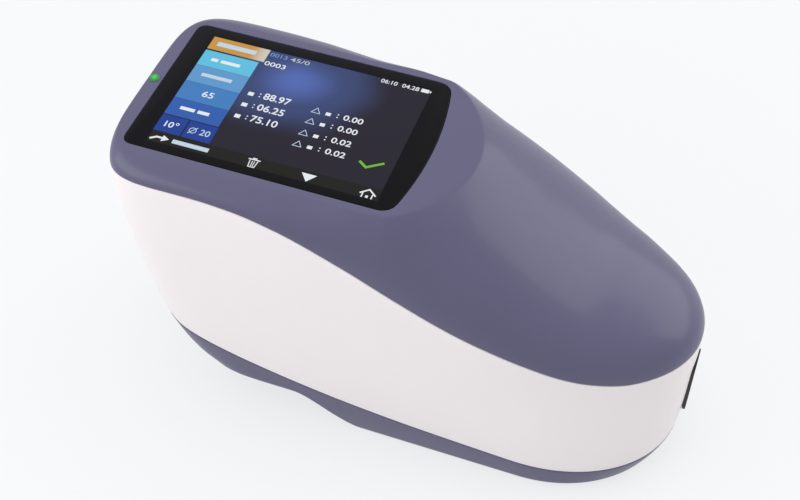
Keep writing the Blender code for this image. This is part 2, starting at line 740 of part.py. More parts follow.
def band_chain(station):
    """Closed wall section of the band: outer wall, upper tongue, inner wall, lower tongue."""
    top = upper_seam
    low = lower_seam
    outer_top = level_point(station, lambda x: top(x) - SEAM_GAP, 0)
    outer_low = level_point(station, low, 0)
    chain = []
    for k in range(BAND_LEVELS + 1):
        z = outer_low[2] + (outer_top[2] - outer_low[2]) * k / BAND_LEVELS
        chain.append((*station_xy(station, z, 0), z))
    tongue = LIP + CLEARANCE
    x, y, z = level_point(station, lambda x: top(x) - SEAM_GAP, tongue)
    chain.append((x, y, z))
    chain.append((x, y, z + TONGUE_HEIGHT))
    x, y, z = level_point(station, lambda x: top(x) - SEAM_GAP, WALL)
    chain.append((x, y, z + TONGUE_HEIGHT))
    for k in range(BAND_LEVELS, -1, -1):
        z = outer_low[2] + (outer_top[2] - outer_low[2]) * k / BAND_LEVELS
        chain.append((*station_xy(station, z, WALL), z))
    x, y, z = level_point(station, low, WALL)
    chain.append((x, y, z - TONGUE_HEIGHT))
    x, y, z = level_point(station, low, tongue)
    chain.append((x, y, z - TONGUE_HEIGHT))
    chain.append((x, y, z))
    return chain


def crown_rings(station, inset, drop, rise):
    """Points from the seam, over the shoulder, to the spine."""
    x, y, z = level_point(station, upper_seam, inset)
    spine_x = min(max(x, SPINE_END_X), SPINE_NOSE_X)
    low = z + rise
    points = []
    for k in range(CROWN_RINGS + 1):
        reach = math.cos(k / CROWN_RINGS * math.pi / 2)
        if k == CROWN_RINGS:
            reach = 0
        ring_x = spine_x + (x - spine_x) * reach
        lift = math.sqrt(1 - reach ** crown_power(ring_x))
        points.append((ring_x, y * reach, low + (crest(ring_x) - drop - low) * lift))
    return points


def top_outer_chain(station):
    x, y, z = level_point(station, upper_seam, 0)
    return [(x, 0, z)] + crown_rings(station, 0, 0, 0)


def top_cavity_chain(station):
    """Cavity section: a rebate for the band's tongue, then the inner wall."""
    x, y, z = level_point(station, upper_seam, LIP)
    rebate = TONGUE_HEIGHT + CLEARANCE
    low = z - CUT_OVERRUN
    chain = [(x, 0, low), (x, y, low), (x, y, z + rebate)]
    return chain + crown_rings(station, WALL, WALL, rebate)


def base_outer_chain(station):
    """Outer section of the base from its seam to the middle of its underside."""
    x, y, z = level_point(station, lambda x: lower_seam(x) - SEAM_GAP, 0)
    low = level_point(station, underside, 0)[2] + EDGE_RADIUS
    chain = [(x, 0, z)]
    for k in range(BASE_LEVELS + 1):
        level = z + (low - z) * k / BASE_LEVELS
        chain.append((*station_xy(station, level, 0), level))
    for k in range(1, EDGE_STEPS + 1):
        angle = k / EDGE_STEPS * math.pi / 2
        inset = EDGE_RADIUS * (1 - math.cos(angle))
        level = low - EDGE_RADIUS * math.sin(angle)
        chain.append((*station_xy(station, level, inset), level))
    x, y, z = chain[-1]
    return chain + [(x, 0, z)]


def base_cavity_chain(station):
    """Inner section of the base: rebate for the band's lower tongue, wall and floor."""
    x, y, z = level_point(station, lambda x: lower_seam(x) - SEAM_GAP, LIP)
    rebate = TONGUE_HEIGHT + CLEARANCE
    chain = [(x, 0, z + CUT_OVERRUN), (x, y, z + CUT_OVERRUN), (x, y, z - rebate)]
    top = z - rebate
    low = level_point(station, underside, 0)[2] + FLOOR
    for k in range(BASE_LEVELS + 1):
        level = top + (low - top) * k / BASE_LEVELS
        chain.append((*station_xy(station, level, WALL), level))
    x, y, z = chain[-1]
    return chain + [(x, 0, z)]


def glass_outline(grow=0):
    """Outline of the cover glass: round corners at the screen end and a bowed edge towards the nose."""
    half = GLASS_WIDTH / 2 + grow
    end = GLASS_END_X - grow
    corner = GLASS_CORNER_X + grow
    points = [(end, -half), (corner, -half)]
    for k in range(1, GLASS_ARC_STEPS):
        share = 2 * k / GLASS_ARC_STEPS - 1
        points.append((corner + GLASS_BULGE * (1 - share ** 2), half * share))
    points += [(corner, half), (end, half)]
    end, nose = GLASS_CORNER + grow, GLASS_NOSE_CORNER + grow
    return round_corners(points, {0: end, 1: nose, len(points) - 2: nose, len(points) - 1: end})


def round_corners(points, radii, steps=6):
    """Replaces the chosen corners of an outline by curves that start a radius away on each side."""
    outline = []
    for k, point in enumerate(points):
        if k not in radii:
            outline.append(point)
            continue
        radius = radii[k]
        here = Vector(point)
        before = here.lerp(Vector(points[k - 1]), radius / (here - Vector(points[k - 1])).length)
        following = Vector(points[(k + 1) % len(points)])
        after = here.lerp(following, radius / (here - following).length)
        for step in range(steps + 1):
            t = step / steps
            curve = before * (1 - t) ** 2 + here * (2 * t * (1 - t)) + after * t ** 2
            outline.append((curve.x, curve.y))
    return outline


def led_cutter(name):
    return cylinder(name, (LED_X, 0, PLATEAU_HEIGHT - LED_PIPE_LENGTH - CLEARANCE),
                    LED_RADIUS + LED_HOLE_MARGIN, LED_PIPE_LENGTH + CUT_OVERRUN, SMALL_STEPS)


def post_places():
    """Name, x, y and split height of each case screw post."""
    places = []
    for side, sign in (("right", -1), ("left", 1)):
        for name, x, margin, split in (("nose", NOSE_POST_X, NOSE_POST_MARGIN, NOSE_POST_SPLIT),
                                       ("middle", MIDDLE_POST_X, MIDDLE_POST_MARGIN, MIDDLE_POST_SPLIT)):
            places.append((f"{name}_{side}", x, sign * (side_half_width(x, upper_seam(x)) - margin), split))
    return places


def mid_wall_chain(station):
    """Section of the space under the middle of the top shell's wall."""
    x, y, z = level_point(station, upper_seam, WALL / 2)
    return [(x, 0, FOOT_HEIGHT), (x, y, FOOT_HEIGHT)] + crown_rings(station, WALL / 2, WALL / 2, 0)


def shell_post(name, x, y, low, steps=SMALL_STEPS):
    """A post that hangs from the top shell, its head ending in the middle of the crowned wall."""
    post = cylinder(name, (x, y, low), POST_TIP_RADIUS, PLATEAU_HEIGHT - WALL / 2 - low, steps, POST_RADIUS)
    under_wall = half_loft(f"{name}_limit", [mid_wall_chain(station) for station in stations], False)
    combine(post, under_wall, "INTERSECT")
    return post


def make_top_shell(material):
    shell = half_loft("top_shell", [top_outer_chain(station) for station in stations], False)
    cavity = half_loft("top_cavity", [top_cavity_chain(station) for station in stations], False)
    reach = BODY_LENGTH
    above = box("plateau_cut", (-reach, -reach, PLATEAU_HEIGHT), (reach, reach, PLATEAU_HEIGHT + reach))
    inner = box("plateau_inner_cut", (-reach, -reach, PLATEAU_INNER), (reach, reach, PLATEAU_HEIGHT + reach))
    cut(cavity, inner)
    cut(shell, above, cavity)
    nose = GLASS_CORNER_X + GLASS_BULGE / 2
    outline = rounded_outline(nose - GLASS_END_X, GLASS_WIDTH + 2 * LEDGE_MARGIN,
                              GLASS_NOSE_CORNER + LEDGE_MARGIN)
    ledge = prism("glass_ledge", outline, PLATEAU_HEIGHT - WALL / 2 - LEDGE_UNDERSIDE,
                  ((GLASS_END_X + nose) / 2, 0, LEDGE_UNDERSIDE))
    join(shell, ledge)
    for name, x, y, split in post_places():
        post = shell_post(f"post_{name}", x, y, split + CLEARANCE)
        join(shell, post)
    for name, x, y, split in post_places():
        hole = cylinder(f"post_hole_{name}", (x, y, split - CUT_OVERRUN), CASE_SCREW_RADIUS + CLEARANCE,
                        CASE_SCREW_BITE + SCREW_HOLE_ROOM + CUT_OVERRUN, TINY_STEPS)
        cut(shell, hole)
    recess = prism("glass_recess", glass_outline(CLEARANCE / 2), GLASS_THICKNESS + CUT_OVERRUN,
                   (0, 0, GLASS_SEAT))
    window = prism("display_window",
                   rounded_outline(DISPLAY_LENGTH + 2 * WINDOW_MARGIN, DISPLAY_WIDTH + 2 * WINDOW_MARGIN,
                                   WINDOW_CORNER),
                   GLASS_THICKNESS + LEDGE_THICKNESS + CUT_OVERRUN, (SCREEN_X, 0, LEDGE_UNDERSIDE - WALL))
    cut(shell, recess, window, led_cutter("light_hole"))
    shell.data.materials.append(material)
    return shell


def make_middle_band(material):
    band = half_loft("middle_band", [band_chain(station) for station in stations], True)
    cut(band, led_cutter("band_light_notch"))
    pocket = prism("panel_pocket",
                   rounded_outline(PANEL_HEIGHT + 2 * CLEARANCE, PANEL_WIDTH + 2 * CLEARANCE,
                                   PANEL_WIDTH / 2 + CLEARANCE, ROUND_STEPS),
                   CUT_OVERRUN + PANEL_RIM_THICKNESS, (PANEL_BACK_X - CLEARANCE, 0, PANEL_CENTRE_Z),
                   (0, math.pi / 2, 0))
    inset = PANEL_BODY_INSET - CLEARANCE
    hole = prism("panel_hole",
                 rounded_outline(PANEL_HEIGHT - 2 * inset, PANEL_WIDTH - 2 * inset, PANEL_WIDTH / 2 - inset,
                                 ROUND_STEPS),
                 WALL + CUT_OVERRUN * 2, (PANEL_BACK_X - WALL - CUT_OVERRUN, 0, PANEL_CENTRE_Z),
                 (0, math.pi / 2, 0))
    key_hole = prism("key_hole",
                     rounded_outline(KEY_LENGTH + 2 * CLEARANCE, KEY_WIDTH + 2 * CLEARANCE,
                                     KEY_WIDTH / 2 + CLEARANCE, ROUND_STEPS),
                     WALL + 2 * CUT_OVERRUN, (KEY_X, BODY_WIDTH / 2 - WALL - CUT_OVERRUN, KEY_Z),
                     (-math.pi / 2, 0, 0))
    cut(band, pocket, hole, key_hole)
    inner = side_y(KEY_Z) - WALL
    for sign in (-1, 1):
        post = cylinder(f"key_post_{'left' if sign < 0 else 'right'}",
                        (KEY_X + sign * KEY_BOARD_LENGTH * KEY_POST_SHARE, key_board_y() + CLEARANCE, KEY_Z),
                        KEY_POST_RADIUS, inner - key_board_y() - CLEARANCE + WALL / 2, TINY_STEPS,
                        turn=(-math.pi / 2, 0, 0))
        join(band, post)
    band.data.materials.append(material)
    return band


def key_cap_y():
    return side_y(KEY_Z)


def key_board_y():
    """Outer face of the key board, which the tact switch stands on."""
    flange_back = key_cap_y() - KEY_CAP_DEPTH - KEY_FLANGE_THICKNESS
    return flange_back - KEY_STEM_LENGTH - KEY_TRAVEL - KEY_SWITCH_GAP - TACT_HEIGHT


def base_post(name, x, y, split):
    low = FOOT_FLOOR_TOP - FLOOR / 2
    return cylinder(name, (x, y, low), POST_RADIUS, split - low, SMALL_STEPS)


def case_screw_seat(split):
    """Height of the face in the base post that a case screw's head bears on."""
    return split - CASE_SCREW_LENGTH + CASE_SCREW_BITE


def make_base_shell(material):
    base = half_loft("base_shell", [base_outer_chain(station) for station in stations], False)
    cavity = half_loft("base_cavity", [base_cavity_chain(station) for station in stations], False)
    cut(base, cavity)
    boss = cylinder("port_boss", (PORT_X, 0, FOOT_HEIGHT), PORT_BOSS_RADIUS,
                    BASE_FLOOR_TOP - FOOT_HEIGHT - FLOOR / 2)
    flange = box("bay_flange", (BAY_START_X - DOOR_MARGIN - BAY_FLANGE_RUN,
                                -BAY_WIDTH / 2 - DOOR_MARGIN - BAY_WALL, FOOT_HEIGHT + FLOOR / 2),
                 (BAY_END_X + DOOR_MARGIN + BAY_FLANGE_RUN, BAY_WIDTH / 2 + DOOR_MARGIN + BAY_WALL,
                  BAY_FLANGE_TOP))
    bay = box("bay_walls", (BAY_START_X - BAY_WALL, -BAY_WIDTH / 2 - BAY_WALL,
                            FOOT_HEIGHT + FLOOR / 2 + CLEARANCE),
              (BAY_END_X + BAY_WALL, BAY_WIDTH / 2 + BAY_WALL, BAY_ROOF_TOP))
    guide = box("board_guide", (PORT_BOARD_X - GUIDE_DEPTH / 2, -GUIDE_WIDTH / 2, FOOT_HEIGHT + FLOOR / 2),
                (PORT_BOARD_FRONT_X + GUIDE_DEPTH / 2, GUIDE_WIDTH / 2, GUIDE_TOP))
    join(base, boss, flange, bay, guide)
    for name, x, y, split in post_places():
        join(base, base_post(f"base_post_{name}", x, y, split))
    bay_hole = box("bay_hole", (BAY_START_X, -BAY_WIDTH / 2, -CUT_OVERRUN),
                   (BAY_END_X, BAY_WIDTH / 2, BAY_HEIGHT))
    cut(base, bay_hole, door_solid("door_pocket", CLEARANCE))
    port_bore = cylinder("port_bore", (PORT_X, 0, -CUT_OVERRUN), PORT_BORE_RADIUS,
                         BASE_FLOOR_TOP + 2 * CUT_OVERRUN)
    groove = turned("seal_groove", (PORT_X, 0, 0),
                    ring_profile(SEAL_INNER_RADIUS - CLEARANCE, SEAL_OUTER_RADIUS + CLEARANCE, -CUT_OVERRUN,
                                 SEAL_GROOVE + CLEARANCE))
    slot = box("guide_slot", (PORT_BOARD_X - CLEARANCE, -PORT_BOARD_WIDTH / 2 - CLEARANCE,
                              PORT_BOARD_LOW - CLEARANCE),
               (PORT_BOARD_FRONT_X + CLEARANCE, PORT_BOARD_WIDTH / 2 + CLEARANCE, GUIDE_TOP + CUT_OVERRUN))
    cut(base, port_bore, groove, slot)
    for name, x, y, split in post_places():
        seat = case_screw_seat(split)
        counterbore = cylinder(f"counterbore_{name}", (x, y, -CUT_OVERRUN), CASE_SCREW_HEAD + CLEARANCE,
                               seat + CUT_OVERRUN, SMALL_STEPS)
        hole = cylinder(f"screw_hole_{name}", (x, y, seat - CUT_OVERRUN), CASE_SCREW_RADIUS + CLEARANCE,
                        split - seat + 2 * CUT_OVERRUN, TINY_STEPS)
        cut(base, counterbore, hole)
    for name, x, y in pad_places():
        cut(base, cylinder(f"recess_{name}", (x, y, -CUT_OVERRUN), PAD_RADIUS + CLEARANCE,
                           FOOT_HEIGHT + PAD_GROOVE + CUT_OVERRUN, SMALL_STEPS))
    for k in range(LUG_COUNT):
        turn = k * 2 * math.pi / LUG_COUNT
        join(base, arc_block(f"bayonet_ledge_{k + 1}", turn, LUG_ANGLE, APERTURE_SLEEVE_OUTER + CLEARANCE,
                             (PORT_BORE_RADIUS + SEAL_INNER_RADIUS) / 2, bayonet_ledge_low(), LEDGE_HEIGHT))
    base.data.materials.append(material)
    return base


def bayonet_ledge_low():
    return APERTURE_FACE_LIFT + APERTURE_FLANGE + CLEARANCE


def lug_low():
    return bayonet_ledge_low() + LEDGE_HEIGHT + CLEARANCE


def ring_profile(inner, outer, low, high):
    """Closed rectangle profile, listed down its outer side."""
    return [(outer, high), (outer, low), (inner, low), (inner, high)]


def arc_block(name, middle, angle, inner, outer, low, height, steps=4):
    """A short ring sector about the measuring port."""
    arc = [middle + angle * (k / steps - 1 / 2) for k in range(steps + 1)]
    outline = [(outer * math.cos(a), outer * math.sin(a)) for a in arc]
    outline += [(inner * math.cos(a), inner * math.sin(a)) for a in reversed(arc)]
    return prism(name, outline, height, (PORT_X, 0, low))


def make_glass(material):
    glass = prism("touch_glass", glass_outline(), GLASS_THICKNESS, (0, 0, GLASS_SEAT + GLUE_GAP),
                  edge=GLASS_EDGE)
    glass.data.materials.append(material)
    return glass


def make_display(material):
    low = (SCREEN_X - DISPLAY_LENGTH / 2, -DISPLAY_WIDTH / 2, DISPLAY_UNDERSIDE)
    high = (SCREEN_X + DISPLAY_LENGTH / 2, DISPLAY_WIDTH / 2, DISPLAY_TOP)
    display = box("display_panel", low, high, CLEARANCE)
    display.data.materials.append(material)
    return display


def bracket_post_places():
    return [(BOARD_CENTRE_X + sx * BOARD_LENGTH, sy * BOARD_WIDTH) for sx, sy in board_post_shares]


def make_bracket(material):
    middle = (BRACKET_END_X + BRACKET_NOSE_X) / 2
    bracket = prism("display_bracket", rounded_outline(BRACKET_NOSE_X - BRACKET_END_X, BRACKET_WIDTH,
                                                       BRACKET_CORNER), BRACKET_TOP - BRACKET_UNDERSIDE,
                    (middle, 0, BRACKET_UNDERSIDE))
    for k, (x, y) in enumerate(bracket_post_places()):
        join(bracket, cylinder(f"bracket_post_{k + 1}", (x, y, BOARD_TOP + CLEARANCE), BOARD_POST_RADIUS,
                               BOARD_POST_LENGTH + BRACKET_PLATE / 2, SMALL_STEPS))
    seat = prism("display_seat",
                 rounded_outline(DISPLAY_LENGTH + 2 * CLEARANCE, DISPLAY_WIDTH + 2 * CLEARANCE, CLEARANCE),
                 BRACKET_TOP - BRACKET_SEAT + CUT_OVERRUN, (SCREEN_X, 0, BRACKET_SEAT))
    window = prism("bracket_window", rounded_outline(BRACKET_WINDOW_LENGTH, BRACKET_WINDOW_WIDTH,
                                                     BRACKET_WINDOW_CORNER),
                   BRACKET_PLATE + CUT_OVERRUN * 2, (SCREEN_X, 0, BRACKET_UNDERSIDE - CUT_OVERRUN))
    slot = box("ribbon_slot", (BRACKET_NOSE_X - RIBBON_SLOT_DEPTH, -DISPLAY_RIBBON_WIDTH / 2 - CLEARANCE,
                               BRACKET_UNDERSIDE - CUT_OVERRUN),
               (BRACKET_NOSE_X + CUT_OVERRUN, DISPLAY_RIBBON_WIDTH / 2 + CLEARANCE,
                BRACKET_TOP + CUT_OVERRUN))
    cut(bracket, seat, window, slot)
    for k, (x, y) in enumerate(bracket_post_places()):
        cut(bracket, cylinder(f"bracket_hole_{k + 1}", (x, y, BOARD_TOP), BOARD_SCREW_RADIUS + CLEARANCE,
                              BOARD_SCREW_LENGTH, TINY_STEPS))
    bracket.data.materials.append(material)
    return bracket


def make_status_led(material):
    """Light pipe with a low dome above the plateau and a wider foot inside."""
    foot = PLATEAU_HEIGHT - LED_PIPE_LENGTH
    half = (PLATEAU_INNER + foot) / 2
    profile = [(0, PLATEAU_HEIGHT + LED_DOME)]
    for k in range(1, LENS_STEPS):
        angle = k / LENS_STEPS * math.pi / 2
        profile.append((LED_RADIUS * math.sin(angle), PLATEAU_HEIGHT + LED_DOME * math.cos(angle)))
    profile += [(LED_RADIUS, PLATEAU_HEIGHT), (LED_RADIUS, half), (LED_RADIUS * LED_FOOT_SHARE, foot),
                (0, foot)]
    led = turned("status_led", (LED_X, 0, 0), profile, SMALL_STEPS)
    led.data.materials.append(material)
    return led


def make_main_board(material):
    low = (BOARD_CENTRE_X - BOARD_LENGTH / 2, -BOARD_WIDTH / 2, BOARD_UNDERSIDE)
    high = (BOARD_CENTRE_X + BOARD_LENGTH / 2, BOARD_WIDTH / 2, BOARD_TOP)
    board = box("main_board", low, high)
    heights = {"chip": CHIP_HEIGHT, "shield": SHIELD_HEIGHT, "socket": CONNECTOR_HEIGHT}
    for k, (sx, sy, length, width, kind) in enumerate(board_part_shares):
        x = BOARD_CENTRE_X + sx * BOARD_LENGTH
        y = sy * BOARD_WIDTH
        reach = (length * BOARD_LENGTH / 2, width * BOARD_WIDTH / 2)
        middle = BOARD_UNDERSIDE + BOARD_THICKNESS / 2
        if kind == "socket":
            part = box(f"board_part_{k + 1}", (x - reach[0], y - reach[1], middle),
                       (x + reach[0], y + reach[1], BOARD_TOP + heights[kind]))
        else:
            part = box(f"board_part_{k + 1}", (x - reach[0], y - reach[1], BOARD_UNDERSIDE - heights[kind]),
                       (x + reach[0], y + reach[1], middle))
        join(board, part)
    for k, (x, y) in enumerate(bracket_post_places()):
        cut(board, cylinder(f"board_hole_{k + 1}", (x, y, BOARD_UNDERSIDE - CUT_OVERRUN),
                            BOARD_SCREW_RADIUS + CLEARANCE, BOARD_THICKNESS + 2 * CUT_OVERRUN, TINY_STEPS))
    board.data.materials.append(material)
    return board


def make_buzzer(material):
    buzzer = cylinder("buzzer", (BUZZER_X, BUZZER_Y, BOARD_UNDERSIDE - CLEARANCE - BUZZER_HEIGHT),
                      BUZZER_RADIUS, BUZZER_HEIGHT, SMALL_STEPS)
    buzzer.data.materials.append(material)
    return buzzer


def make_screw(name, place, radius, head_radius, head_height, length, material):
    """A pan-head screw, head down: place is the face that its head bears on, and its shank points up."""
    profile = [(0, length), (radius * SCREW_TIP_SHARE, length), (radius, length - radius), (radius, 0),
               (head_radius, 0), (head_radius, -head_height * SCREW_HEAD_EDGE_SHARE),
               (head_radius * SCREW_HEAD_FACE_SHARE, -head_height), (0, -head_height)]
    screw = turned(name, place, profile, TINY_STEPS)
    screw.data.materials.append(material)
    return screw


def make_screws(material):
    for k, (x, y) in enumerate(bracket_post_places()):
        make_screw(f"board_screw_{k + 1}", (x, y, BOARD_UNDERSIDE - CLEARANCE), BOARD_SCREW_RADIUS,
                   BOARD_SCREW_HEAD, BOARD_SCREW_HEAD_HEIGHT, BOARD_SCREW_LENGTH, material)
    for name, x, y, split in post_places():
        make_screw(f"case_screw_{name}", (x, y, case_screw_seat(split) - CLEARANCE), CASE_SCREW_RADIUS,
                   CASE_SCREW_HEAD, CASE_SCREW_HEAD_HEIGHT, CASE_SCREW_LENGTH, material)
    for k, (x, y) in enumerate(tray_post_places()):
        screw = make_screw(f"tray_screw_{k + 1}", (x, y, LID_LOW + LID_THICKNESS + CLEARANCE),
                           BOARD_SCREW_RADIUS, BOARD_SCREW_HEAD, BOARD_SCREW_HEAD_HEIGHT,
                           BOARD_SCREW_LENGTH, material)
        screw.rotation_euler = (math.pi, 0, 0)


def make_chassis(material):
    middle = (CHASSIS_END_X + CHASSIS_NOSE_X) / 2
    plate = prism("chassis", rounded_outline(CHASSIS_NOSE_X - CHASSIS_END_X, CHASSIS_WIDTH, CHASSIS_CORNER),
                  CHASSIS_PLATE, (middle, 0, CHASSIS_UNDERSIDE))
    bar = prism("chassis_bar",
                rounded_outline(CHASSIS_BAR_WIDTH, 2 * END_LEG_Y + CHASSIS_BAR_WIDTH, CHASSIS_BAR_WIDTH / 2),
                CHASSIS_PLATE, (CHASSIS_BAR_X, 0, CHASSIS_UNDERSIDE))
    join(plate, bar)
    legs = []
    for side, sign in (("right", -1), ("left", 1)):
        legs.append((f"end_leg_{side}", CHASSIS_BAR_X, sign * END_LEG_Y, BASE_FLOOR_TOP + CLEARANCE))
        legs.append((f"nose_leg_{side}", NOSE_LEG_X, sign * NOSE_LEG_Y, BAY_ROOF_TOP + CLEARANCE))
    for name, x, y, low in legs:
        join(plate, cylinder(name, (x, y, low), LEG_RADIUS, CHASSIS_UNDERSIDE + CHASSIS_PLATE / 2 - low,
                             SMALL_STEPS))
    cut(plate, cylinder("tube_hole", (PORT_X, 0, CHASSIS_UNDERSIDE - CUT_OVERRUN), TUBE_RADIUS + CLEARANCE,
                        CHASSIS_PLATE + 2 * CUT_OVERRUN))
    plate.data.materials.append(material)
    return plate


def make_optics_block(material):
    """Turned body with a light cone over the port, a table for the lamps and a neck for the lens tube."""
    seat_radius = PORT_GLASS_RADIUS + CLEARANCE
    glass_top = OPTICS_LOW + CLEARANCE + PORT_GLASS_THICKNESS + CLEARANCE
    profile = [(OPTICS_NECK_RADIUS, OPTICS_TOP), (OPTICS_NECK_RADIUS, OPTICS_TABLE),
               (OPTICS_SHOULDER_RADIUS, OPTICS_TABLE), (OPTICS_SHOULDER_RADIUS, OPTICS_SHOULDER_LOW),
               (OPTICS_WAIST_RADIUS, OPTICS_LOW + OPTICS_FLANGE),
               (OPTICS_FLANGE_RADIUS, OPTICS_LOW + OPTICS_FLANGE), (OPTICS_FLANGE_RADIUS, OPTICS_LOW),
               (seat_radius, OPTICS_LOW), (seat_radius, glass_top),
               (seat_radius - PORT_GLASS_SEAT, glass_top), (OPTICS_BORE_RADIUS, OPTICS_CONE_TOP),
               (OPTICS_BORE_RADIUS, OPTICS_TOP), ]
    block = turned("optics_block", (PORT_X, 0, 0), profile)
    slope = math.atan2(LIGHT_RING_RADIUS, OPTICS_TABLE)
    length = math.hypot(LIGHT_RING_RADIUS, OPTICS_TABLE)
    for k in range(LIGHT_COUNT):
        angle = light_angle(k)
        start = length * (1 - LIGHT_CHANNEL_SHARE)
        direction = Vector((math.sin(slope) * math.cos(angle), math.sin(slope) * math.sin(angle),
                            math.cos(slope)))
        place = Vector((PORT_X, 0, 0)) + direction * (length - length * LIGHT_CHANNEL_SHARE)
        channel = cylinder(f"light_channel_{k + 1}", place, LIGHT_CHANNEL_RADIUS,
                           length - start + CUT_OVERRUN, TINY_STEPS)
        channel.rotation_euler = direction.to_track_quat("Z", "Y").to_euler()
        cut(block, channel)
    block.data.materials.append(material)
    return block


def light_angle(k):
    return (k + 1 / 2) * 2 * math.pi / LIGHT_COUNT


def make_ring_board(material):
    low = OPTICS_TABLE + CLEARANCE
    board = turned("led_ring_board", (PORT_X, 0, low),
                   ring_profile(OPTICS_NECK_RADIUS + CLEARANCE, RING_BOARD_RADIUS, 0, RING_BOARD_THICKNESS))
    size = LIGHT_CHIP_SIZE / 2
    for k in range(LIGHT_COUNT):
        angle = light_angle(k)
        chip = box(f"lamp_{k + 1}", (-size, -size, -LIGHT_CHIP_HEIGHT),
                   (size, size, RING_BOARD_THICKNESS / 2))
        chip.location = Vector((PORT_X + LIGHT_RING_RADIUS * math.cos(angle),
                                LIGHT_RING_RADIUS * math.sin(angle),
                                low + (RING_BOARD_THICKNESS / 2 - LIGHT_CHIP_HEIGHT) / 2))
        chip.rotation_euler = (0, 0, angle)
        join(board, chip)
    board.data.materials.append(material)
    return board


def make_port_glass(material):
    glass = cylinder("port_glass", (PORT_X, 0, OPTICS_LOW + CLEARANCE), PORT_GLASS_RADIUS,
                     PORT_GLASS_THICKNESS)
    glass.data.materials.append(material)
    return glass


def lens_low():
    return TUBE_LOW + LENS_LIFT


def make_lens_tube(material):
    """Tube with a flange on the optics block and a narrow seat below the lens."""
    top = CHASSIS_TOP
    seat = lens_low() - CLEARANCE
    profile = [(TUBE_RADIUS, top), (TUBE_RADIUS, TUBE_LOW + TUBE_FLANGE),
               (TUBE_FLANGE_RADIUS, TUBE_LOW + TUBE_FLANGE), (TUBE_FLANGE_RADIUS, TUBE_LOW),
               (TUBE_BORE_RADIUS - LENS_SEAT, TUBE_LOW), (TUBE_BORE_RADIUS - LENS_SEAT, seat),
               (TUBE_BORE_RADIUS, seat), (TUBE_BORE_RADIUS, top), ]
    tube = turned("lens_tube", (PORT_X, 0, 0), profile)
    tube.data.materials.append(material)
    return tube


def make_lens(material):
    """Lens with a flat edge and two bowed faces."""
    radius = TUBE_BORE_RADIUS - CLEARANCE
    bow = (LENS_THICKNESS - LENS_EDGE) / 2
    rim = LENS_EDGE / 2
    upper = []
    for k in range(LENS_STEPS + 1):
        share = k / LENS_STEPS
        upper.append((radius * share, rim + bow * (1 - share ** 2)))
    profile = upper + [(r, -z) for r, z in reversed(upper)]
    lens = turned("collection_lens", (PORT_X, 0, lens_low() + rim), profile, SMALL_STEPS)
    lens.location.z += CLEARANCE
    lens.data.materials.append(material)
    return lens


def make_aperture_ring(material):
    """Bayonet ring with the measuring aperture; its origin is on the measuring axis."""
    face = APERTURE_FACE_LIFT
    flange_top = face + APERTURE_FLANGE
    top = face + APERTURE_SLEEVE_HEIGHT
    outer = PORT_BORE_RADIUS - CLEARANCE
    profile = [
        (APERTURE_SLEEVE_OUTER, top), (APERTURE_SLEEVE_OUTER, flange_top), (outer, flange_top), (outer, face),
        (APERTURE_RADIUS, face), (APERTURE_RADIUS, face + APERTURE_EDGE), (APERTURE_SLEEVE_INNER, flange_top),
        (APERTURE_SLEEVE_INNER, top),
    ]
    ring = turned("aperture_ring", (PORT_X, 0, 0), profile)
    for k in range(LUG_COUNT):
        turn = k * 2 * math.pi / LUG_COUNT
        join(ring, arc_block(f"bayonet_lug_{k + 1}", turn, LUG_ANGLE,
                             (APERTURE_SLEEVE_INNER + APERTURE_SLEEVE_OUTER) / 2,
                             PORT_BORE_RADIUS - CLEARANCE, lug_low(), LUG_HEIGHT))
    for sign in (-1, 1):
        notch = cylinder(f"grip_notch_{'low' if sign < 0 else 'high'}",
                         (PORT_X, sign * (outer + GRIP_NOTCH_OFFSET), face - CUT_OVERRUN), GRIP_NOTCH_RADIUS,
                         CUT_OVERRUN + APERTURE_FLANGE / 2, TINY_STEPS)
        cut(ring, notch)
    ring.data.materials.append(material)
    return ring


def make_port_seal(material):
    seal = turned("port_seal", (PORT_X, 0, 0), ring_profile(SEAL_INNER_RADIUS, SEAL_OUTER_RADIUS, 0,
                                                            SEAL_GROOVE))
    seal.data.materials.append(material)
    return seal


def tray_post_places():
    inset = TRAY_POST_RADIUS
    places = []
    for x in (TRAY_END_X + inset, TRAY_NOSE_X - inset):
        for sign in (-1, 1):
            places.append((x, sign * (TRAY_WIDTH / 2 - inset)))
    return places


def make_tray(material):
    half = TRAY_WIDTH / 2
    tray = box("spectrometer_tray", (TRAY_END_X, -half, TRAY_LOW), (TRAY_NOSE_X, half, TRAY_TOP))
    inside = box("tray_inside", (TRAY_END_X + TRAY_WALL, -half + TRAY_WALL, TRAY_LOW + TRAY_FLOOR),
                 (TRAY_NOSE_X - TRAY_WALL, half - TRAY_WALL, TRAY_TOP + CUT_OVERRUN))
    cut(tray, inside)
    for k, (x, y) in enumerate(tray_post_places()):
        join(tray, cylinder(f"tray_post_{k + 1}", (x, y, TRAY_LOW + TRAY_FLOOR / 2), TRAY_POST_RADIUS,
                            TRAY_HEIGHT - TRAY_FLOOR / 2 - CLEARANCE, TINY_STEPS))
    for k, (x, y) in enumerate(tray_post_places()):
        cut(tray, cylinder(f"tray_hole_{k + 1}", (x, y, TRAY_TOP - BOARD_SCREW_LENGTH),
                           BOARD_SCREW_RADIUS + CLEARANCE, BOARD_SCREW_LENGTH + CUT_OVERRUN, TINY_STEPS))
    cut(tray, cylinder("tray_light_hole", (PORT_X, 0, TRAY_LOW - CUT_OVERRUN), MIRROR_SIZE / 2 - CLEARANCE,
                       TRAY_FLOOR + 2 * CUT_OVERRUN))
    tray.data.materials.append(material)
    return tray


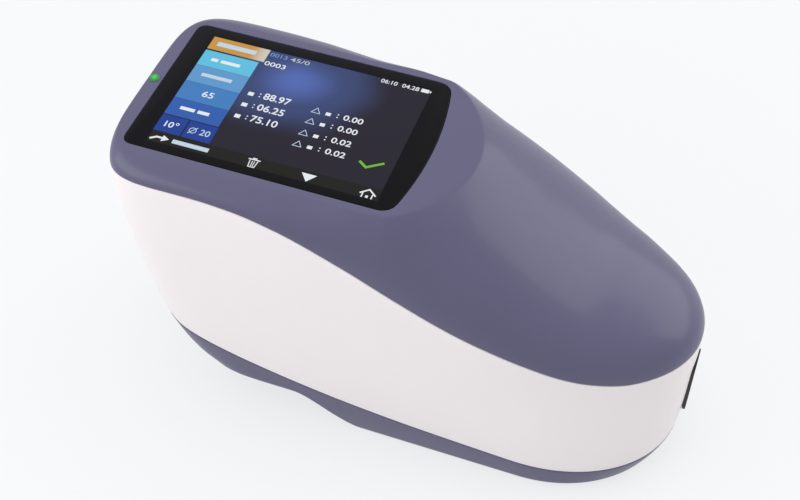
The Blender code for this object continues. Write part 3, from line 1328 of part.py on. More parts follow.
def make_tray_lid(material):
    half = TRAY_WIDTH / 2
    lid = box("spectrometer_lid", (TRAY_END_X, -half, LID_LOW), (TRAY_NOSE_X, half, LID_LOW + LID_THICKNESS))
    for k, (x, y) in enumerate(tray_post_places()):
        cut(lid, cylinder(f"lid_hole_{k + 1}", (x, y, LID_LOW - CUT_OVERRUN), BOARD_SCREW_RADIUS + CLEARANCE,
                          LID_THICKNESS + 2 * CUT_OVERRUN, TINY_STEPS))
    lid.data.materials.append(material)
    return lid


def make_fold_mirror(material):
    """Mirror block at 45 degrees over the light hole, on a wedge foot."""
    floor = TRAY_LOW + TRAY_FLOOR + CLEARANCE
    run = MIRROR_SIZE
    outline = [(-run, 0), (-run / 2, 0), (run / 2, run), (-run, run)]
    mirror = prism("fold_mirror", outline, MIRROR_SIZE, (PORT_X, MIRROR_SIZE / 2, floor), (math.pi / 2, 0, 0))
    mirror.data.materials.append(material)
    return mirror


def make_slit(material):
    floor = TRAY_LOW + TRAY_FLOOR + CLEARANCE
    slit = box("entrance_slit", (SLIT_X, -SLIT_WIDTH / 2, floor), (SLIT_X + SLIT_THICKNESS, SLIT_WIDTH / 2,
                                                                   floor + SLIT_HEIGHT))
    middle = floor + SLIT_HEIGHT / 2
    opening = box("slit_opening", (SLIT_X - CUT_OVERRUN, -SLIT_OPENING_WIDTH / 2,
                                   middle - SLIT_OPENING_HEIGHT / 2),
                  (SLIT_X + CUT_OVERRUN, SLIT_OPENING_WIDTH / 2, middle + SLIT_OPENING_HEIGHT / 2))
    cut(slit, opening)
    slit.data.materials.append(material)
    return slit


def make_grating(material):
    floor = TRAY_LOW + TRAY_FLOOR + CLEARANCE
    half = GRATING_WIDTH / 2
    grating = box("diffraction_grating", (GRATING_X - GRATING_THICKNESS / 2, -half, floor),
                  (GRATING_X + GRATING_THICKNESS / 2, half, floor + GRATING_HEIGHT))
    grating.rotation_euler = (0, 0, GRATING_TURN)
    grating.data.materials.append(material)
    return grating


def make_sensor_board(material):
    floor = TRAY_LOW + TRAY_FLOOR + CLEARANCE
    half = SENSOR_LENGTH / 2
    board = box("sensor_board", (SENSOR_X, SENSOR_Y - half, floor),
                (SENSOR_X + SENSOR_THICKNESS, SENSOR_Y + half, floor + SENSOR_HEIGHT))
    middle = floor + SENSOR_HEIGHT / 2
    chip = box("line_sensor", (SENSOR_X + SENSOR_THICKNESS / 2, SENSOR_Y - SENSOR_CHIP_LENGTH / 2,
                               middle - SENSOR_CHIP_HEIGHT / 2),
               (SENSOR_X + SENSOR_THICKNESS + SENSOR_CHIP_THICKNESS, SENSOR_Y + SENSOR_CHIP_LENGTH / 2,
                middle + SENSOR_CHIP_HEIGHT / 2))
    join(board, chip)
    board.data.materials.append(material)
    return board


def make_battery(material):
    low = DOOR_POCKET_TOP + CLEARANCE
    battery = box("battery_pack", (BAY_START_X + CLEARANCE, -BATTERY_WIDTH / 2, low),
                  (BAY_START_X + CLEARANCE + BATTERY_LENGTH, BATTERY_WIDTH / 2, BAY_HEIGHT - CLEARANCE),
                  BATTERY_EDGE)
    battery.data.materials.append(material)
    return battery


def make_battery_contacts(material):
    high = BAY_END_X - CLEARANCE
    middle = BAY_HEIGHT / 2
    low_z = middle - CONTACT_HEIGHT / 2
    carrier = box("battery_contacts", (high - CONTACT_DEPTH, -CONTACT_WIDTH / 2, low_z),
                  (high, CONTACT_WIDTH / 2, low_z + CONTACT_HEIGHT))
    pitch = CONTACT_WIDTH / CONTACT_COUNT
    for k in range(CONTACT_COUNT):
        y = (k - (CONTACT_COUNT - 1) / 2) * pitch
        blade = box(f"contact_blade_{k + 1}", (high - CONTACT_DEPTH - CONTACT_BLADE_DEPTH,
                                               y - CONTACT_BLADE_WIDTH / 2,
                                               middle - CONTACT_BLADE_HEIGHT / 2),
                    (high - CONTACT_DEPTH / 2, y + CONTACT_BLADE_WIDTH / 2,
                     middle + CONTACT_BLADE_HEIGHT / 2))
        join(carrier, blade)
    carrier.data.materials.append(material)
    return carrier


def door_solid(name, grow):
    """The battery door's plate, or the pocket round it when grown by a clearance."""
    length = BAY_LENGTH + 2 * DOOR_MARGIN + 2 * grow
    width = BAY_WIDTH + 2 * DOOR_MARGIN + 2 * grow
    thickness = DOOR_THICKNESS if grow == 0 else DOOR_THICKNESS + grow + CUT_OVERRUN
    low = FOOT_HEIGHT if grow == 0 else FOOT_HEIGHT - CUT_OVERRUN
    return prism(name, rounded_outline(length, width, DOOR_CORNER + grow), thickness,
                 (BAY_START_X + BAY_LENGTH / 2, 0, low))


def door_hinge_x():
    return BAY_START_X - DOOR_MARGIN


def make_battery_door(material):
    """Plate with finger grooves and a snap hook; its parent empty is on the swing axis."""
    door = door_solid("battery_door", 0)
    hook_x = BAY_END_X - CLEARANCE - DOOR_HOOK_THICKNESS
    hook = box("door_hook", (hook_x, -DOOR_HOOK_WIDTH / 2, FOOT_HEIGHT + DOOR_THICKNESS / 2),
               (hook_x + DOOR_HOOK_THICKNESS, DOOR_HOOK_WIDTH / 2,
                FOOT_HEIGHT + DOOR_THICKNESS + DOOR_HOOK_HEIGHT))
    join(door, hook)
    for k in range(DOOR_GRIP_COUNT):
        x = BAY_END_X - DOOR_GRIP_PITCH * (k + 1)
        groove = box(f"door_grip_{k + 1}", (x, -DOOR_GRIP_LENGTH / 2, FOOT_HEIGHT - CUT_OVERRUN),
                     (x + DOOR_GRIP_WIDTH, DOOR_GRIP_LENGTH / 2, FOOT_HEIGHT + DOOR_GRIP_DEPTH))
        cut(door, groove)
    pivot = bpy.data.objects.new("battery_door_pivot", None)
    pivot.location = (door_hinge_x(), 0, FOOT_HEIGHT)
    pivot.parent = root
    parts.objects.link(pivot)
    door.parent = pivot
    door.location = door.location - pivot.location
    door.data.materials.append(material)
    return door


def pad_places():
    places = []
    for side, sign in (("right", -1), ("left", 1)):
        places.append((f"front_{side}_foot", FRONT_PAD_X, sign * FRONT_PAD_Y))
        places.append((f"rear_{side}_foot", REAR_PAD_X, sign * REAR_PAD_Y))
    return places


def make_feet(material):
    for name, x, y in pad_places():
        pad = cylinder(name, (x, y, 0), PAD_RADIUS, FOOT_HEIGHT + PAD_GROOVE - CLEARANCE, SMALL_STEPS)
        pad.data.materials.append(material)


def knob_top():
    return PANEL_CENTRE_Z + PANEL_HEIGHT / 2 - PANEL_RIM - SWITCH_TOP_GAP


def knob_middle():
    return knob_top() - SWITCH_KNOB_HEIGHT / 2


def usb_low():
    return PANEL_CENTRE_Z - PANEL_HEIGHT / 2 + PANEL_RIM + USB_LIFT


def make_port_panel(material):
    """Oblong nose panel: a rim seated in the band, a recessed floor, a switch slot and a socket window."""
    turn = (0, math.pi / 2, 0)
    panel = prism("port_panel", rounded_outline(PANEL_HEIGHT, PANEL_WIDTH, PANEL_WIDTH / 2, ROUND_STEPS),
                  PANEL_RIM_THICKNESS, (PANEL_BACK_X, 0, PANEL_CENTRE_Z), turn, PANEL_EDGE)
    inset = PANEL_BODY_INSET
    body = prism("panel_body",
                 rounded_outline(PANEL_HEIGHT - 2 * inset, PANEL_WIDTH - 2 * inset, PANEL_WIDTH / 2 - inset,
                                 ROUND_STEPS),
                 PANEL_BODY_DEPTH - PANEL_RIM_THICKNESS / 2, (PANEL_BODY_BACK_X, 0, PANEL_CENTRE_Z), turn)
    rim = PANEL_RIM
    recess = prism("panel_recess", rounded_outline(PANEL_HEIGHT - 2 * rim, PANEL_WIDTH - 2 * rim,
                                                   PANEL_WIDTH / 2 - rim, ROUND_STEPS),
                   PANEL_RECESS + CUT_OVERRUN, (PANEL_FLOOR_X, 0, PANEL_CENTRE_Z), turn)
    slot_low = knob_middle() - SWITCH_TRAVEL - SWITCH_STEM_HEIGHT / 2 - CLEARANCE
    slot_high = knob_middle() + SWITCH_STEM_HEIGHT / 2 + CLEARANCE
    slot = box("switch_slot", (PANEL_BODY_BACK_X - CUT_OVERRUN, -SWITCH_STEM_WIDTH / 2 - CLEARANCE, slot_low),
               (FRONT_X, SWITCH_STEM_WIDTH / 2 + CLEARANCE, slot_high))
    window = box("socket_window", (PANEL_BODY_BACK_X - CUT_OVERRUN, -USB_WIDTH / 2 - CLEARANCE,
                                   usb_low() - CLEARANCE),
                 (FRONT_X, USB_WIDTH / 2 + CLEARANCE, usb_low() + USB_HEIGHT + CLEARANCE))
    join(panel, body)
    cut(panel, recess, slot, window)
    panel.data.materials.append(material)
    return panel


def make_power_switch(material):
    """Ribbed slider knob with a stem through the panel to the switch."""
    back = PANEL_FLOOR_X + CLEARANCE
    front = back + SWITCH_KNOB_DEPTH
    half = SWITCH_KNOB_WIDTH / 2
    middle = knob_middle()
    knob = box("power_switch", (back, -half, middle - SWITCH_KNOB_HEIGHT / 2),
               (front, half, middle + SWITCH_KNOB_HEIGHT / 2))
    stem = box("switch_stem", (PORT_BOARD_FRONT_X + SWITCH_BODY_DEPTH + 2 * CLEARANCE, -SWITCH_STEM_WIDTH / 2,
                               middle - SWITCH_STEM_HEIGHT / 2),
               (back + SWITCH_KNOB_DEPTH / 2, SWITCH_STEM_WIDTH / 2, middle + SWITCH_STEM_HEIGHT / 2))
    join(knob, stem)
    pitch = SWITCH_KNOB_HEIGHT / (SWITCH_RIB_COUNT + 1)
    for k in range(SWITCH_RIB_COUNT):
        z = middle + (k - (SWITCH_RIB_COUNT - 1) / 2) * pitch
        groove = box(f"switch_groove_{k + 1}", (front - SWITCH_RIB_DEPTH, -half - CUT_OVERRUN, z - pitch / 4),
                     (front + CUT_OVERRUN, half + CUT_OVERRUN, z + pitch / 4))
        cut(knob, groove)
    knob.data.materials.append(material)
    return knob


def make_slide_switch_body(material):
    low_x = PORT_BOARD_FRONT_X + CLEARANCE
    middle = knob_middle() - SWITCH_TRAVEL / 2
    body = box("slide_switch_body", (low_x, -SWITCH_BODY_WIDTH / 2, middle - SWITCH_BODY_HEIGHT / 2),
               (low_x + SWITCH_BODY_DEPTH, SWITCH_BODY_WIDTH / 2, middle + SWITCH_BODY_HEIGHT / 2))
    body.data.materials.append(material)
    return body


def make_usb_socket(material):
    """Upright metal socket shell with a contact tongue, open to the front."""
    back = PORT_BOARD_FRONT_X + CLEARANCE
    front = PANEL_FLOOR_X - USB_FRONT_GAP
    half = USB_WIDTH / 2
    low = usb_low()
    socket = box("usb_socket", (back, -half, low), (front, half, low + USB_HEIGHT))
    inside = box("socket_inside", (front - USB_DEPTH, -half + USB_WALL, low + USB_WALL),
                 (front + CUT_OVERRUN, half - USB_WALL, low + USB_HEIGHT - USB_WALL))
    tongue = box("socket_tongue", (front - USB_DEPTH - USB_TONGUE_ROOT, -USB_TONGUE_THICKNESS / 2,
                                   low + USB_TONGUE_INSET),
                 (front - USB_TONGUE_SETBACK, USB_TONGUE_THICKNESS / 2,
                  low + USB_HEIGHT - USB_TONGUE_INSET))
    cut(socket, inside)
    join(socket, tongue)
    socket.data.materials.append(material)
    return socket


def make_port_board(material):
    half = PORT_BOARD_WIDTH / 2
    board = box("port_board", (PORT_BOARD_X, -half, PORT_BOARD_LOW),
                (PORT_BOARD_FRONT_X, half, PORT_BOARD_LOW + PORT_BOARD_HEIGHT))
    board.data.materials.append(material)
    return board


def make_measure_key(material):
    """Oval push key in the band's +Y side, with a flange that keeps it in."""
    turn = (-math.pi / 2, 0, 0)
    face = key_cap_y()
    back = face - KEY_CAP_DEPTH
    key = prism("measure_key", rounded_outline(KEY_LENGTH, KEY_WIDTH, KEY_WIDTH / 2, ROUND_STEPS),
                KEY_CAP_DEPTH, (KEY_X, back, KEY_Z), turn, KEY_EDGE)
    flange = prism("key_flange", rounded_outline(KEY_LENGTH + 2 * KEY_FLANGE, KEY_WIDTH + 2 * KEY_FLANGE,
                                                 KEY_WIDTH / 2 + KEY_FLANGE, ROUND_STEPS),
                   KEY_FLANGE_THICKNESS + CLEARANCE, (KEY_X, back - KEY_FLANGE_THICKNESS, KEY_Z), turn)
    stem = cylinder("key_stem", (KEY_X, back - KEY_FLANGE_THICKNESS - KEY_STEM_LENGTH, KEY_Z),
                    KEY_STEM_RADIUS, KEY_STEM_LENGTH + KEY_FLANGE_THICKNESS / 2, TINY_STEPS, turn=turn)
    join(key, flange, stem)
    key.data.materials.append(material)
    return key


def make_key_board(material):
    """Small upright board with the tact switch that the key presses."""
    face = key_board_y()
    board = box("key_board", (KEY_X - KEY_BOARD_LENGTH / 2, face - KEY_BOARD_THICKNESS,
                              KEY_Z - KEY_BOARD_HEIGHT / 2),
                (KEY_X + KEY_BOARD_LENGTH / 2, face, KEY_Z + KEY_BOARD_HEIGHT / 2))
    switch = box("tact_switch", (KEY_X - TACT_SIZE / 2, face - KEY_BOARD_THICKNESS / 2,
                                 KEY_Z - TACT_SIZE / 2),
                 (KEY_X + TACT_SIZE / 2, face + TACT_HEIGHT, KEY_Z + TACT_SIZE / 2))
    join(board, switch)
    board.data.materials.append(material)
    return board


def ribbon(name, path, width, material):
    """A flat ribbon along a path in the X-Z plane, centred on y = 0."""
    left = []
    right = []
    for k, point in enumerate(path):
        ahead = Vector(path[min(k + 1, len(path) - 1)]) - Vector(path[max(k - 1, 0)])
        normal = Vector((-ahead.y, ahead.x)).normalized() * RIBBON_THICKNESS / 2
        left.append((point[0] + normal.x, point[1] + normal.y))
        right.append((point[0] - normal.x, point[1] - normal.y))
    outline = left + right[::-1]
    strip = prism(name, outline, width, (0, width / 2, 0), (math.pi / 2, 0, 0))
    strip.data.materials.append(material)
    return strip


def make_display_ribbon(material):
    """From the display's nose-side edge round a bend and down to the main board's connector."""
    start_x = SCREEN_X + DISPLAY_LENGTH / 2 + CLEARANCE
    start_z = DISPLAY_UNDERSIDE + RIBBON_THICKNESS
    finish_z = BOARD_TOP + CLEARANCE * 2
    bend = DISPLAY_RIBBON_BEND
    run = DISPLAY_RIBBON_RUN
    path = [(start_x, start_z)]
    for k in range(RIBBON_PIECE_STEPS + 1):
        angle = k / RIBBON_PIECE_STEPS * math.pi / 2
        path.append((start_x + run + bend * math.sin(angle), start_z - bend + bend * math.cos(angle)))
    path.append((start_x + run + bend, finish_z + bend))
    for k in range(1, RIBBON_PIECE_STEPS + 1):
        angle = k / RIBBON_PIECE_STEPS * math.pi / 2
        path.append((start_x + run + bend * math.cos(angle), finish_z + bend - bend * math.sin(angle)))
    path.append((start_x - bend, finish_z))
    return ribbon("display_flex", path, DISPLAY_RIBBON_WIDTH, material)


def make_port_ribbon(material):
    """From the port board's upper end, over the battery bay, up to the main board's underside."""
    board_top = PORT_BOARD_LOW + PORT_BOARD_HEIGHT
    board_nose = BOARD_CENTRE_X + BOARD_LENGTH / 2
    points = [(PORT_BOARD_X - CLEARANCE - RIBBON_THICKNESS / 2, board_top - RIBBON_START_DROP),
              (PORT_BOARD_X - RIBBON_BEND, board_top - RIBBON_DIP),
              (NOSE_POST_X, board_top - RIBBON_SAG),
              (CHASSIS_NOSE_X + RIBBON_CHASSIS_GAP, CHASSIS_UNDERSIDE),
              (TRAY_NOSE_X + RIBBON_BEND, TRAY_TOP),
              (board_nose + RIBBON_BOARD_GAP, BOARD_UNDERSIDE - RIBBON_BOARD_GAP),
              (board_nose - RIBBON_BEND, BOARD_UNDERSIDE - CLEARANCE - RIBBON_THICKNESS)]
    path = []
    steps = PORT_RIBBON_STEPS // (len(points) - 1)
    for k in range(len(points) - 1):
        before = Vector(points[max(k - 1, 0)])
        here = Vector(points[k])
        following = Vector(points[k + 1])
        after = Vector(points[min(k + 2, len(points) - 1)])
        for step in range(steps):
            t = step / steps
            linear = (following - before) * t
            square = (before * 2 - here * 5 + following * 4 - after) * t ** 2
            cube = (here * 3 - before - following * 3 + after) * t ** 3
            curve = (here * 2 + linear + square + cube) / 2
            path.append((curve.x, curve.y))
    path.append(points[-1])
    return ribbon("port_flex", path, PORT_RIBBON_WIDTH, material)


def build():
    start_scene()
    shell_grey = make_material("shell_grey", (0.175, 0.165, 0.245), 0.42)
    band_white = make_material("band_white", (0.80, 0.775, 0.79), 0.38)
    black_glass = make_material("black_glass", (0.012, 0.012, 0.016), 0.05)
    display_dark = make_material("display_dark", (0.02, 0.03, 0.08), 0.3)
    light_green = make_material("light_green", (0.05, 0.65, 0.12), 0.3)
    black_plastic = make_material("black_plastic", (0.02, 0.02, 0.022), 0.45)
    inner_plastic = make_material("inner_plastic", (0.10, 0.10, 0.11), 0.5)
    board_green = make_material("board_green", (0.02, 0.16, 0.07), 0.45)
    cast_alloy = make_material("cast_alloy", (0.55, 0.55, 0.57), 0.45, 1)
    screw_steel = make_material("screw_steel", (0.50, 0.50, 0.52), 0.3, 1)
    clear_glass = make_material("clear_glass", (0.85, 0.92, 0.95), 0.03)
    mirror_coat = make_material("mirror_coat", (0.90, 0.90, 0.92), 0.03, 1)
    soft_black = make_material("soft_black", (0.015, 0.015, 0.016), 0.8)
    battery_wrap = make_material("battery_wrap", (0.03, 0.10, 0.28), 0.4)
    ribbon_amber = make_material("ribbon_amber", (0.50, 0.22, 0.03), 0.4)

    make_top_shell(shell_grey)
    make_middle_band(band_white)
    make_base_shell(shell_grey)
    make_glass(black_glass)
    make_display(display_dark)
    make_status_led(light_green)
    make_bracket(inner_plastic)
    make_main_board(board_green)
    make_buzzer(black_plastic)
    make_display_ribbon(ribbon_amber)
    make_chassis(cast_alloy)
    make_optics_block(black_plastic)
    make_ring_board(board_green)
    make_port_glass(clear_glass)
    make_lens_tube(black_plastic)
    make_lens(clear_glass)
    make_tray(cast_alloy)
    make_tray_lid(cast_alloy)
    make_fold_mirror(mirror_coat)
    make_slit(black_plastic)
    make_grating(mirror_coat)
    make_sensor_board(board_green)
    make_aperture_ring(black_plastic)
    make_port_seal(soft_black)
    make_battery(battery_wrap)
    make_battery_contacts(black_plastic)
    make_battery_door(shell_grey)
    make_feet(soft_black)
    make_port_panel(black_plastic)
    make_power_switch(black_plastic)
    make_slide_switch_body(screw_steel)
    make_usb_socket(screw_steel)
    make_port_board(board_green)
    make_port_ribbon(ribbon_amber)
    make_measure_key(shell_grey)
    make_key_board(board_green)
    make_screws(screw_steel)


build()
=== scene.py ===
"""Portable spectrophotometer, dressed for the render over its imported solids. Metres, the frame of the solids."""

import math

import bmesh
import bpy
import numpy as np
from mathutils import Matrix, Vector


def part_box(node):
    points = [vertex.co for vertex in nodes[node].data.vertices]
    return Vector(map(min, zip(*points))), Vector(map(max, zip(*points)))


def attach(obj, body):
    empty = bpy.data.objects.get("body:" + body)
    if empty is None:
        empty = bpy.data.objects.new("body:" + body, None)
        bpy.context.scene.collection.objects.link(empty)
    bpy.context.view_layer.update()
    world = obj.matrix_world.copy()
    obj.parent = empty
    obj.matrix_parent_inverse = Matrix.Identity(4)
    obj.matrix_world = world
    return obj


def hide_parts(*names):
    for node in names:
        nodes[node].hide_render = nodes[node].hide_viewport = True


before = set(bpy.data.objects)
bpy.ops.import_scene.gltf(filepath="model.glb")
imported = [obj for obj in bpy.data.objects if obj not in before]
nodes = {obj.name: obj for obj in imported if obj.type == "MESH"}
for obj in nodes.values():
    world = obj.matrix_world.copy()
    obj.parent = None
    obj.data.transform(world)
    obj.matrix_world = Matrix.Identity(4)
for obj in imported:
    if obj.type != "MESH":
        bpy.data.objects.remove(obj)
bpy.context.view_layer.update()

# Sizes of the housing, as its solids have them
BODY_LENGTH = 0.184
BODY_WIDTH = 0.077
HALF_LENGTH = BODY_LENGTH / 2
PLATEAU = 0.1055
WALL = 0.0022
LIP = 0.0011
SEAM_GAP = 0.0002
GAP = 0.0003
TONGUE = 0.0012
SIDE_TUCK = 0.0025
END_LEAN = 0.028
END_DEPTH = 0.034
NOSE_TUCK = 0.0075
NOSE_START = 0.020
NOSE_START_RUN = 0.026
PANEL_PROUD = 0.0005
END_POWER = 5.2
END_CROWD = 0.62
NOSE_POWER = 2.08
SPINE_END_X = -0.084
SPINE_NOSE_X = 0.066
FOOT_HEIGHT = 0.0006
END_RISE = 0.0125
STEP_START_X = -0.033
STEP_FINISH_X = -0.009
FLOOR = 0.0025
EDGE_RADIUS = 0.0022
SEAM_RADIUS = 0.0003

# How far a cutting piece reaches past what it cuts
OVERRUN = 0.003

# Points this close together are one: in most pieces, in the skins of the housing and in the marks of the screen
MERGE = 0.000002
SKIN_MERGE = 0.000003
MARK_MERGE = 0.0000005

# How near an edge has to lie to a height, and how much of a direction has to lie along an axis, to be picked
NEAR = 1e-6
ALIGNED = 0.99

# Steps of the three stretches of the half outline, the side's closer together near the screen end, and of a seam edge
NOSE_STEPS = 46
SIDE_STEPS = 60
SIDE_CROWD = 1.2
END_STEPS = 40
SEAM_ROUND_STEPS = 4


def smooth_curve(points):
    """A curve through the points that doesn't overshoot between them."""
    places = [place for place, value in points]
    values = [value for place, value in points]
    steps = [after - before for before, after in zip(places, places[1:])]
    slopes = [(after - before) / step for before, after, step in zip(values, values[1:], steps)]
    tangents = [slopes[0]]
    for before, after in zip(slopes, slopes[1:]):
        tangents.append(0 if before * after <= 0 else 2 * before * after / (before + after))
    tangents.append(slopes[-1])

    def value_at(place):
        place = min(max(place, places[0]), places[-1])
        k = max(index for index in range(len(steps)) if places[index] <= place)
        t = (place - places[k]) / steps[k]
        start = values[k] * (1 + 2 * t) * (1 - t) ** 2 + tangents[k] * steps[k] * t * (1 - t) ** 2
        return start + values[k + 1] * (3 - 2 * t) * t ** 2 - tangents[k + 1] * steps[k] * (1 - t) * t ** 2

    return value_at


# Shares of the housing's sizes along it or up it, as its solids have them
end_lean_at = smooth_curve([
    (0, 1), (0.1232, 0.89), (0.1873, 0.64), (0.2563, 0.47), (0.3302, 0.355), (0.4732, 0.22), (0.7098, 0.07),
    (0.8675, 0), (1, 0)])
nose_tuck_at = smooth_curve([
    (0, 1), (0.0296, 0.5), (0.0986, 0.16), (0.2957, 0.02), (0.4929, 0), (0.6703, 0.1), (1, 0.3)])
nose_start_at = smooth_curve([(0, 1), (0.0986, 0.85), (0.5027, 0), (1, 0)])
side_tuck_at = smooth_curve([(0, 1), (0.1134, 0.5), (0.5225, 0.1), (0.7098, 0), (0.9069, 0.2), (1, 0.3)])
upper_seam_at = smooth_curve([
    (-1, 0.9385), (-0.65, 0.9464), (-0.52, 0.9385), (-0.37, 0.9099), (-0.13, 0.8261), (0.033, 0.7561),
    (0.196, 0.69), (0.36, 0.6348), (0.49, 0.5895), (0.6, 0.5501), (0.7, 0.5235), (0.83, 0.5052), (1, 0.5072)])
lower_seam_at = smooth_curve([
    (-0.89, 0.3362), (-0.8, 0.3081), (-0.72, 0.2859), (-0.62, 0.2563), (-0.52, 0.2297), (-0.34, 0.1912),
    (-0.15, 0.1602), (0.11, 0.1327), (0.435, 0.1119), (0.65, 0.0996), (1, 0.09)])
crest_at = smooth_curve([
    (-1, 1.0161), (-0.6522, 1.019), (-0.3261, 1.0445), (-0.1087, 1.0673), (-0.0272, 1.0673), (0.0402, 1.0559),
    (0.0957, 1.0379), (0.1402, 1.0199), (0.1815, 1), (0.3261, 0.9081), (0.4891, 0.8019), (0.6522, 0.7128),
    (0.8152, 0.6578), (1, 0.6209)])
crown_power_at = smooth_curve([
    (-1, 6.2), (-0.6522, 3.9), (-0.3261, 3), (-0.1087, 3.5), (-0.0272, 3.5), (0.0402, 2.9), (0.0957, 2.4),
    (0.1402, 2.15), (0.1815, 2), (0.6522, 2), (0.8152, 2.5), (1, 3.4)])


def upper_seam(x):
    return PLATEAU * upper_seam_at(x / HALF_LENGTH)


def lower_seam(x):
    return PLATEAU * lower_seam_at(x / HALF_LENGTH)


def underside(x):
    """Height of the underside, raised at the screen end."""
    t = min(max((x - STEP_START_X) / (STEP_FINISH_X - STEP_START_X), 0), 1)
    return END_RISE + (FOOT_HEIGHT - END_RISE) * t * t * (3 - 2 * t)


# Stations of the half outline, from the nose tip to the middle of the screen end: the stretch and the share of it
stations = (
    [("nose", k / NOSE_STEPS) for k in range(NOSE_STEPS)]
    + [("side", 1 - (1 - k / SIDE_STEPS) ** SIDE_CROWD) for k in range(SIDE_STEPS)]
    + [("end", k / END_STEPS) for k in range(END_STEPS + 1)]
)


def plan_place(station, z, inset):
    """Where one station of the half outline stands in plan, at a height and an inset from the outer wall."""
    stretch, share = station
    level = z / PLATEAU
    start = NOSE_START + NOSE_START_RUN * nose_start_at(level)
    end = -HALF_LENGTH + END_LEAN * end_lean_at(level) + END_DEPTH
    half = BODY_WIDTH / 2 - SIDE_TUCK * side_tuck_at(level) - inset
    if stretch == "side":
        return start + (end - start) * share, half
    angle = share * math.pi / 2
    if stretch == "nose":
        reach = HALF_LENGTH - PANEL_PROUD - NOSE_TUCK * nose_tuck_at(level) - inset - start
        return start + reach * math.cos(angle) ** (2 / NOSE_POWER), half * math.sin(angle) ** (2 / NOSE_POWER)
    across = 0 if share == 1 else math.cos(angle) ** END_CROWD
    along = math.sin(angle) ** END_CROWD
    radius = (across ** END_POWER + along ** END_POWER) ** (-1 / END_POWER)
    return end - (END_DEPTH - inset) * along * radius, half * across * radius


def on_level(station, height_of):
    """Where the wall meets a height that changes along the body."""
    z = height_of(0)
    for _ in range(16):
        z = height_of(plan_place(station, z, 0)[0])
    return (*plan_place(station, z, 0), z)


def quarter(steps):
    """Angles of a quarter turn in even steps."""
    return [k / steps * math.pi / 2 for k in range(steps + 1)]


def wall_points(station, levels):
    """Points of one station at some heights, each with its inset from the outer wall."""
    return [(*plan_place(station, z, inset), z) for z, inset in levels]


def seam_edge(station, z, side):
    """Points of a rounded seam edge from its flat to the wall above it, side 1, or below it, side -1."""
    return [(*plan_place(station, z, SEAM_RADIUS * (1 - math.sin(angle))),
             z + side * SEAM_RADIUS * (1 - math.cos(angle))) for angle in quarter(SEAM_ROUND_STEPS)]


# Making pieces
def deselect():
    if bpy.context.mode != "OBJECT":
        bpy.ops.object.mode_set(mode="OBJECT")
    bpy.ops.object.select_all(action="DESELECT")


def only(piece):
    deselect()
    piece.select_set(True)
    bpy.context.view_layer.objects.active = piece


def edit(piece):
    """Opens a piece in edit mode with all of it selected."""
    only(piece)
    bpy.ops.object.mode_set(mode="EDIT")
    bpy.ops.mesh.select_all(action="SELECT")


def close_edit():
    bpy.ops.object.mode_set(mode="OBJECT")


def settle(piece, name, angle):
    """Names a finished piece, puts its place in its mesh, merges its doubles and smooths its soft edges."""
    only(piece)
    piece.name = name
    piece.data.name = name
    bpy.ops.object.transform_apply(location=True, rotation=True, scale=True)
    edit(piece)
    bpy.ops.mesh.remove_doubles(threshold=MERGE)
    bpy.ops.mesh.normals_make_consistent(inside=False)
    close_edit()
    bpy.ops.object.shade_smooth_by_angle(angle=math.radians(angle))


def dress(piece, slot, replaced=(), body="instrument", material=None):
    """Gives a piece the finish of its slot, or a finish of its own, puts it on its body and hides the solids that it
    stands for.
    """
    piece.data.materials.clear()
    piece.data.materials.append(material or finishes[slot])
    for polygon in piece.data.polygons:
        polygon.material_index = 0
    if replaced:
        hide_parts(*replaced)
    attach(piece, body)


def complete(piece, name, slot, *replaced, angle=30, body="instrument", material=None):
    """Settles and dresses a piece."""
    settle(piece, name, angle)
    dress(piece, slot, replaced, body, material)


def carve(piece, other, operation="DIFFERENCE"):
    """Cuts off what another closed piece covers, or joins the two, and takes that other piece away."""
    only(piece)
    modifier = piece.modifiers.new("carve", "BOOLEAN")
    modifier.operation = operation
    modifier.solver = "EXACT"
    modifier.object = other
    bpy.ops.object.modifier_apply(modifier=modifier.name)
    bpy.data.objects.remove(other)


def ease_edges(piece, width):
    """Breaks the sharp edges of a piece."""
    only(piece)
    modifier = piece.modifiers.new("edges", "BEVEL")
    modifier.width = width
    modifier.segments = 2
    modifier.limit_method = "ANGLE"
    modifier.angle_limit = math.radians(40)
    bpy.ops.object.modifier_apply(modifier=modifier.name)


def as_piece(name, shape):
    """Puts built faces into the scene as a piece, their normals outward."""
    bmesh.ops.recalc_face_normals(shape, faces=shape.faces)
    mesh = bpy.data.meshes.new(name)
    shape.to_mesh(mesh)
    shape.free()
    piece = bpy.data.objects.new(name, mesh)
    bpy.context.scene.collection.objects.link(piece)
    return piece


def skin(name, rows, closed_row):
    """A surface through matching rows of points on the +Y side and their mirror images on the -Y side."""
    shape = bmesh.new()
    for sign in (1, -1):
        made = [[shape.verts.new((x, sign * y, z)) for x, y, z in row] for row in rows]
        for row, following in zip(made, made[1:]):
            for k in range(len(row) if closed_row else len(row) - 1):
                after = (k + 1) % len(row)
                corners = (row[k], row[after], following[after], following[k])
                shape.faces.new(corners if sign > 0 else corners[::-1])
    bmesh.ops.remove_doubles(shape, verts=shape.verts, dist=SKIN_MERGE)
    bmesh.ops.dissolve_degenerate(shape, edges=shape.edges, dist=SKIN_MERGE)
    return as_piece(name, shape)


def block(low, high):
    """A box between two corners, sized in edit mode."""
    deselect()
    middle = [(a + b) / 2 for a, b in zip(low, high)]
    bpy.ops.mesh.primitive_cube_add(size=1, location=middle)
    edit(bpy.context.object)
    bpy.ops.transform.resize(value=[b - a for a, b in zip(low, high)], center_override=middle)
    close_edit()
    return bpy.context.object


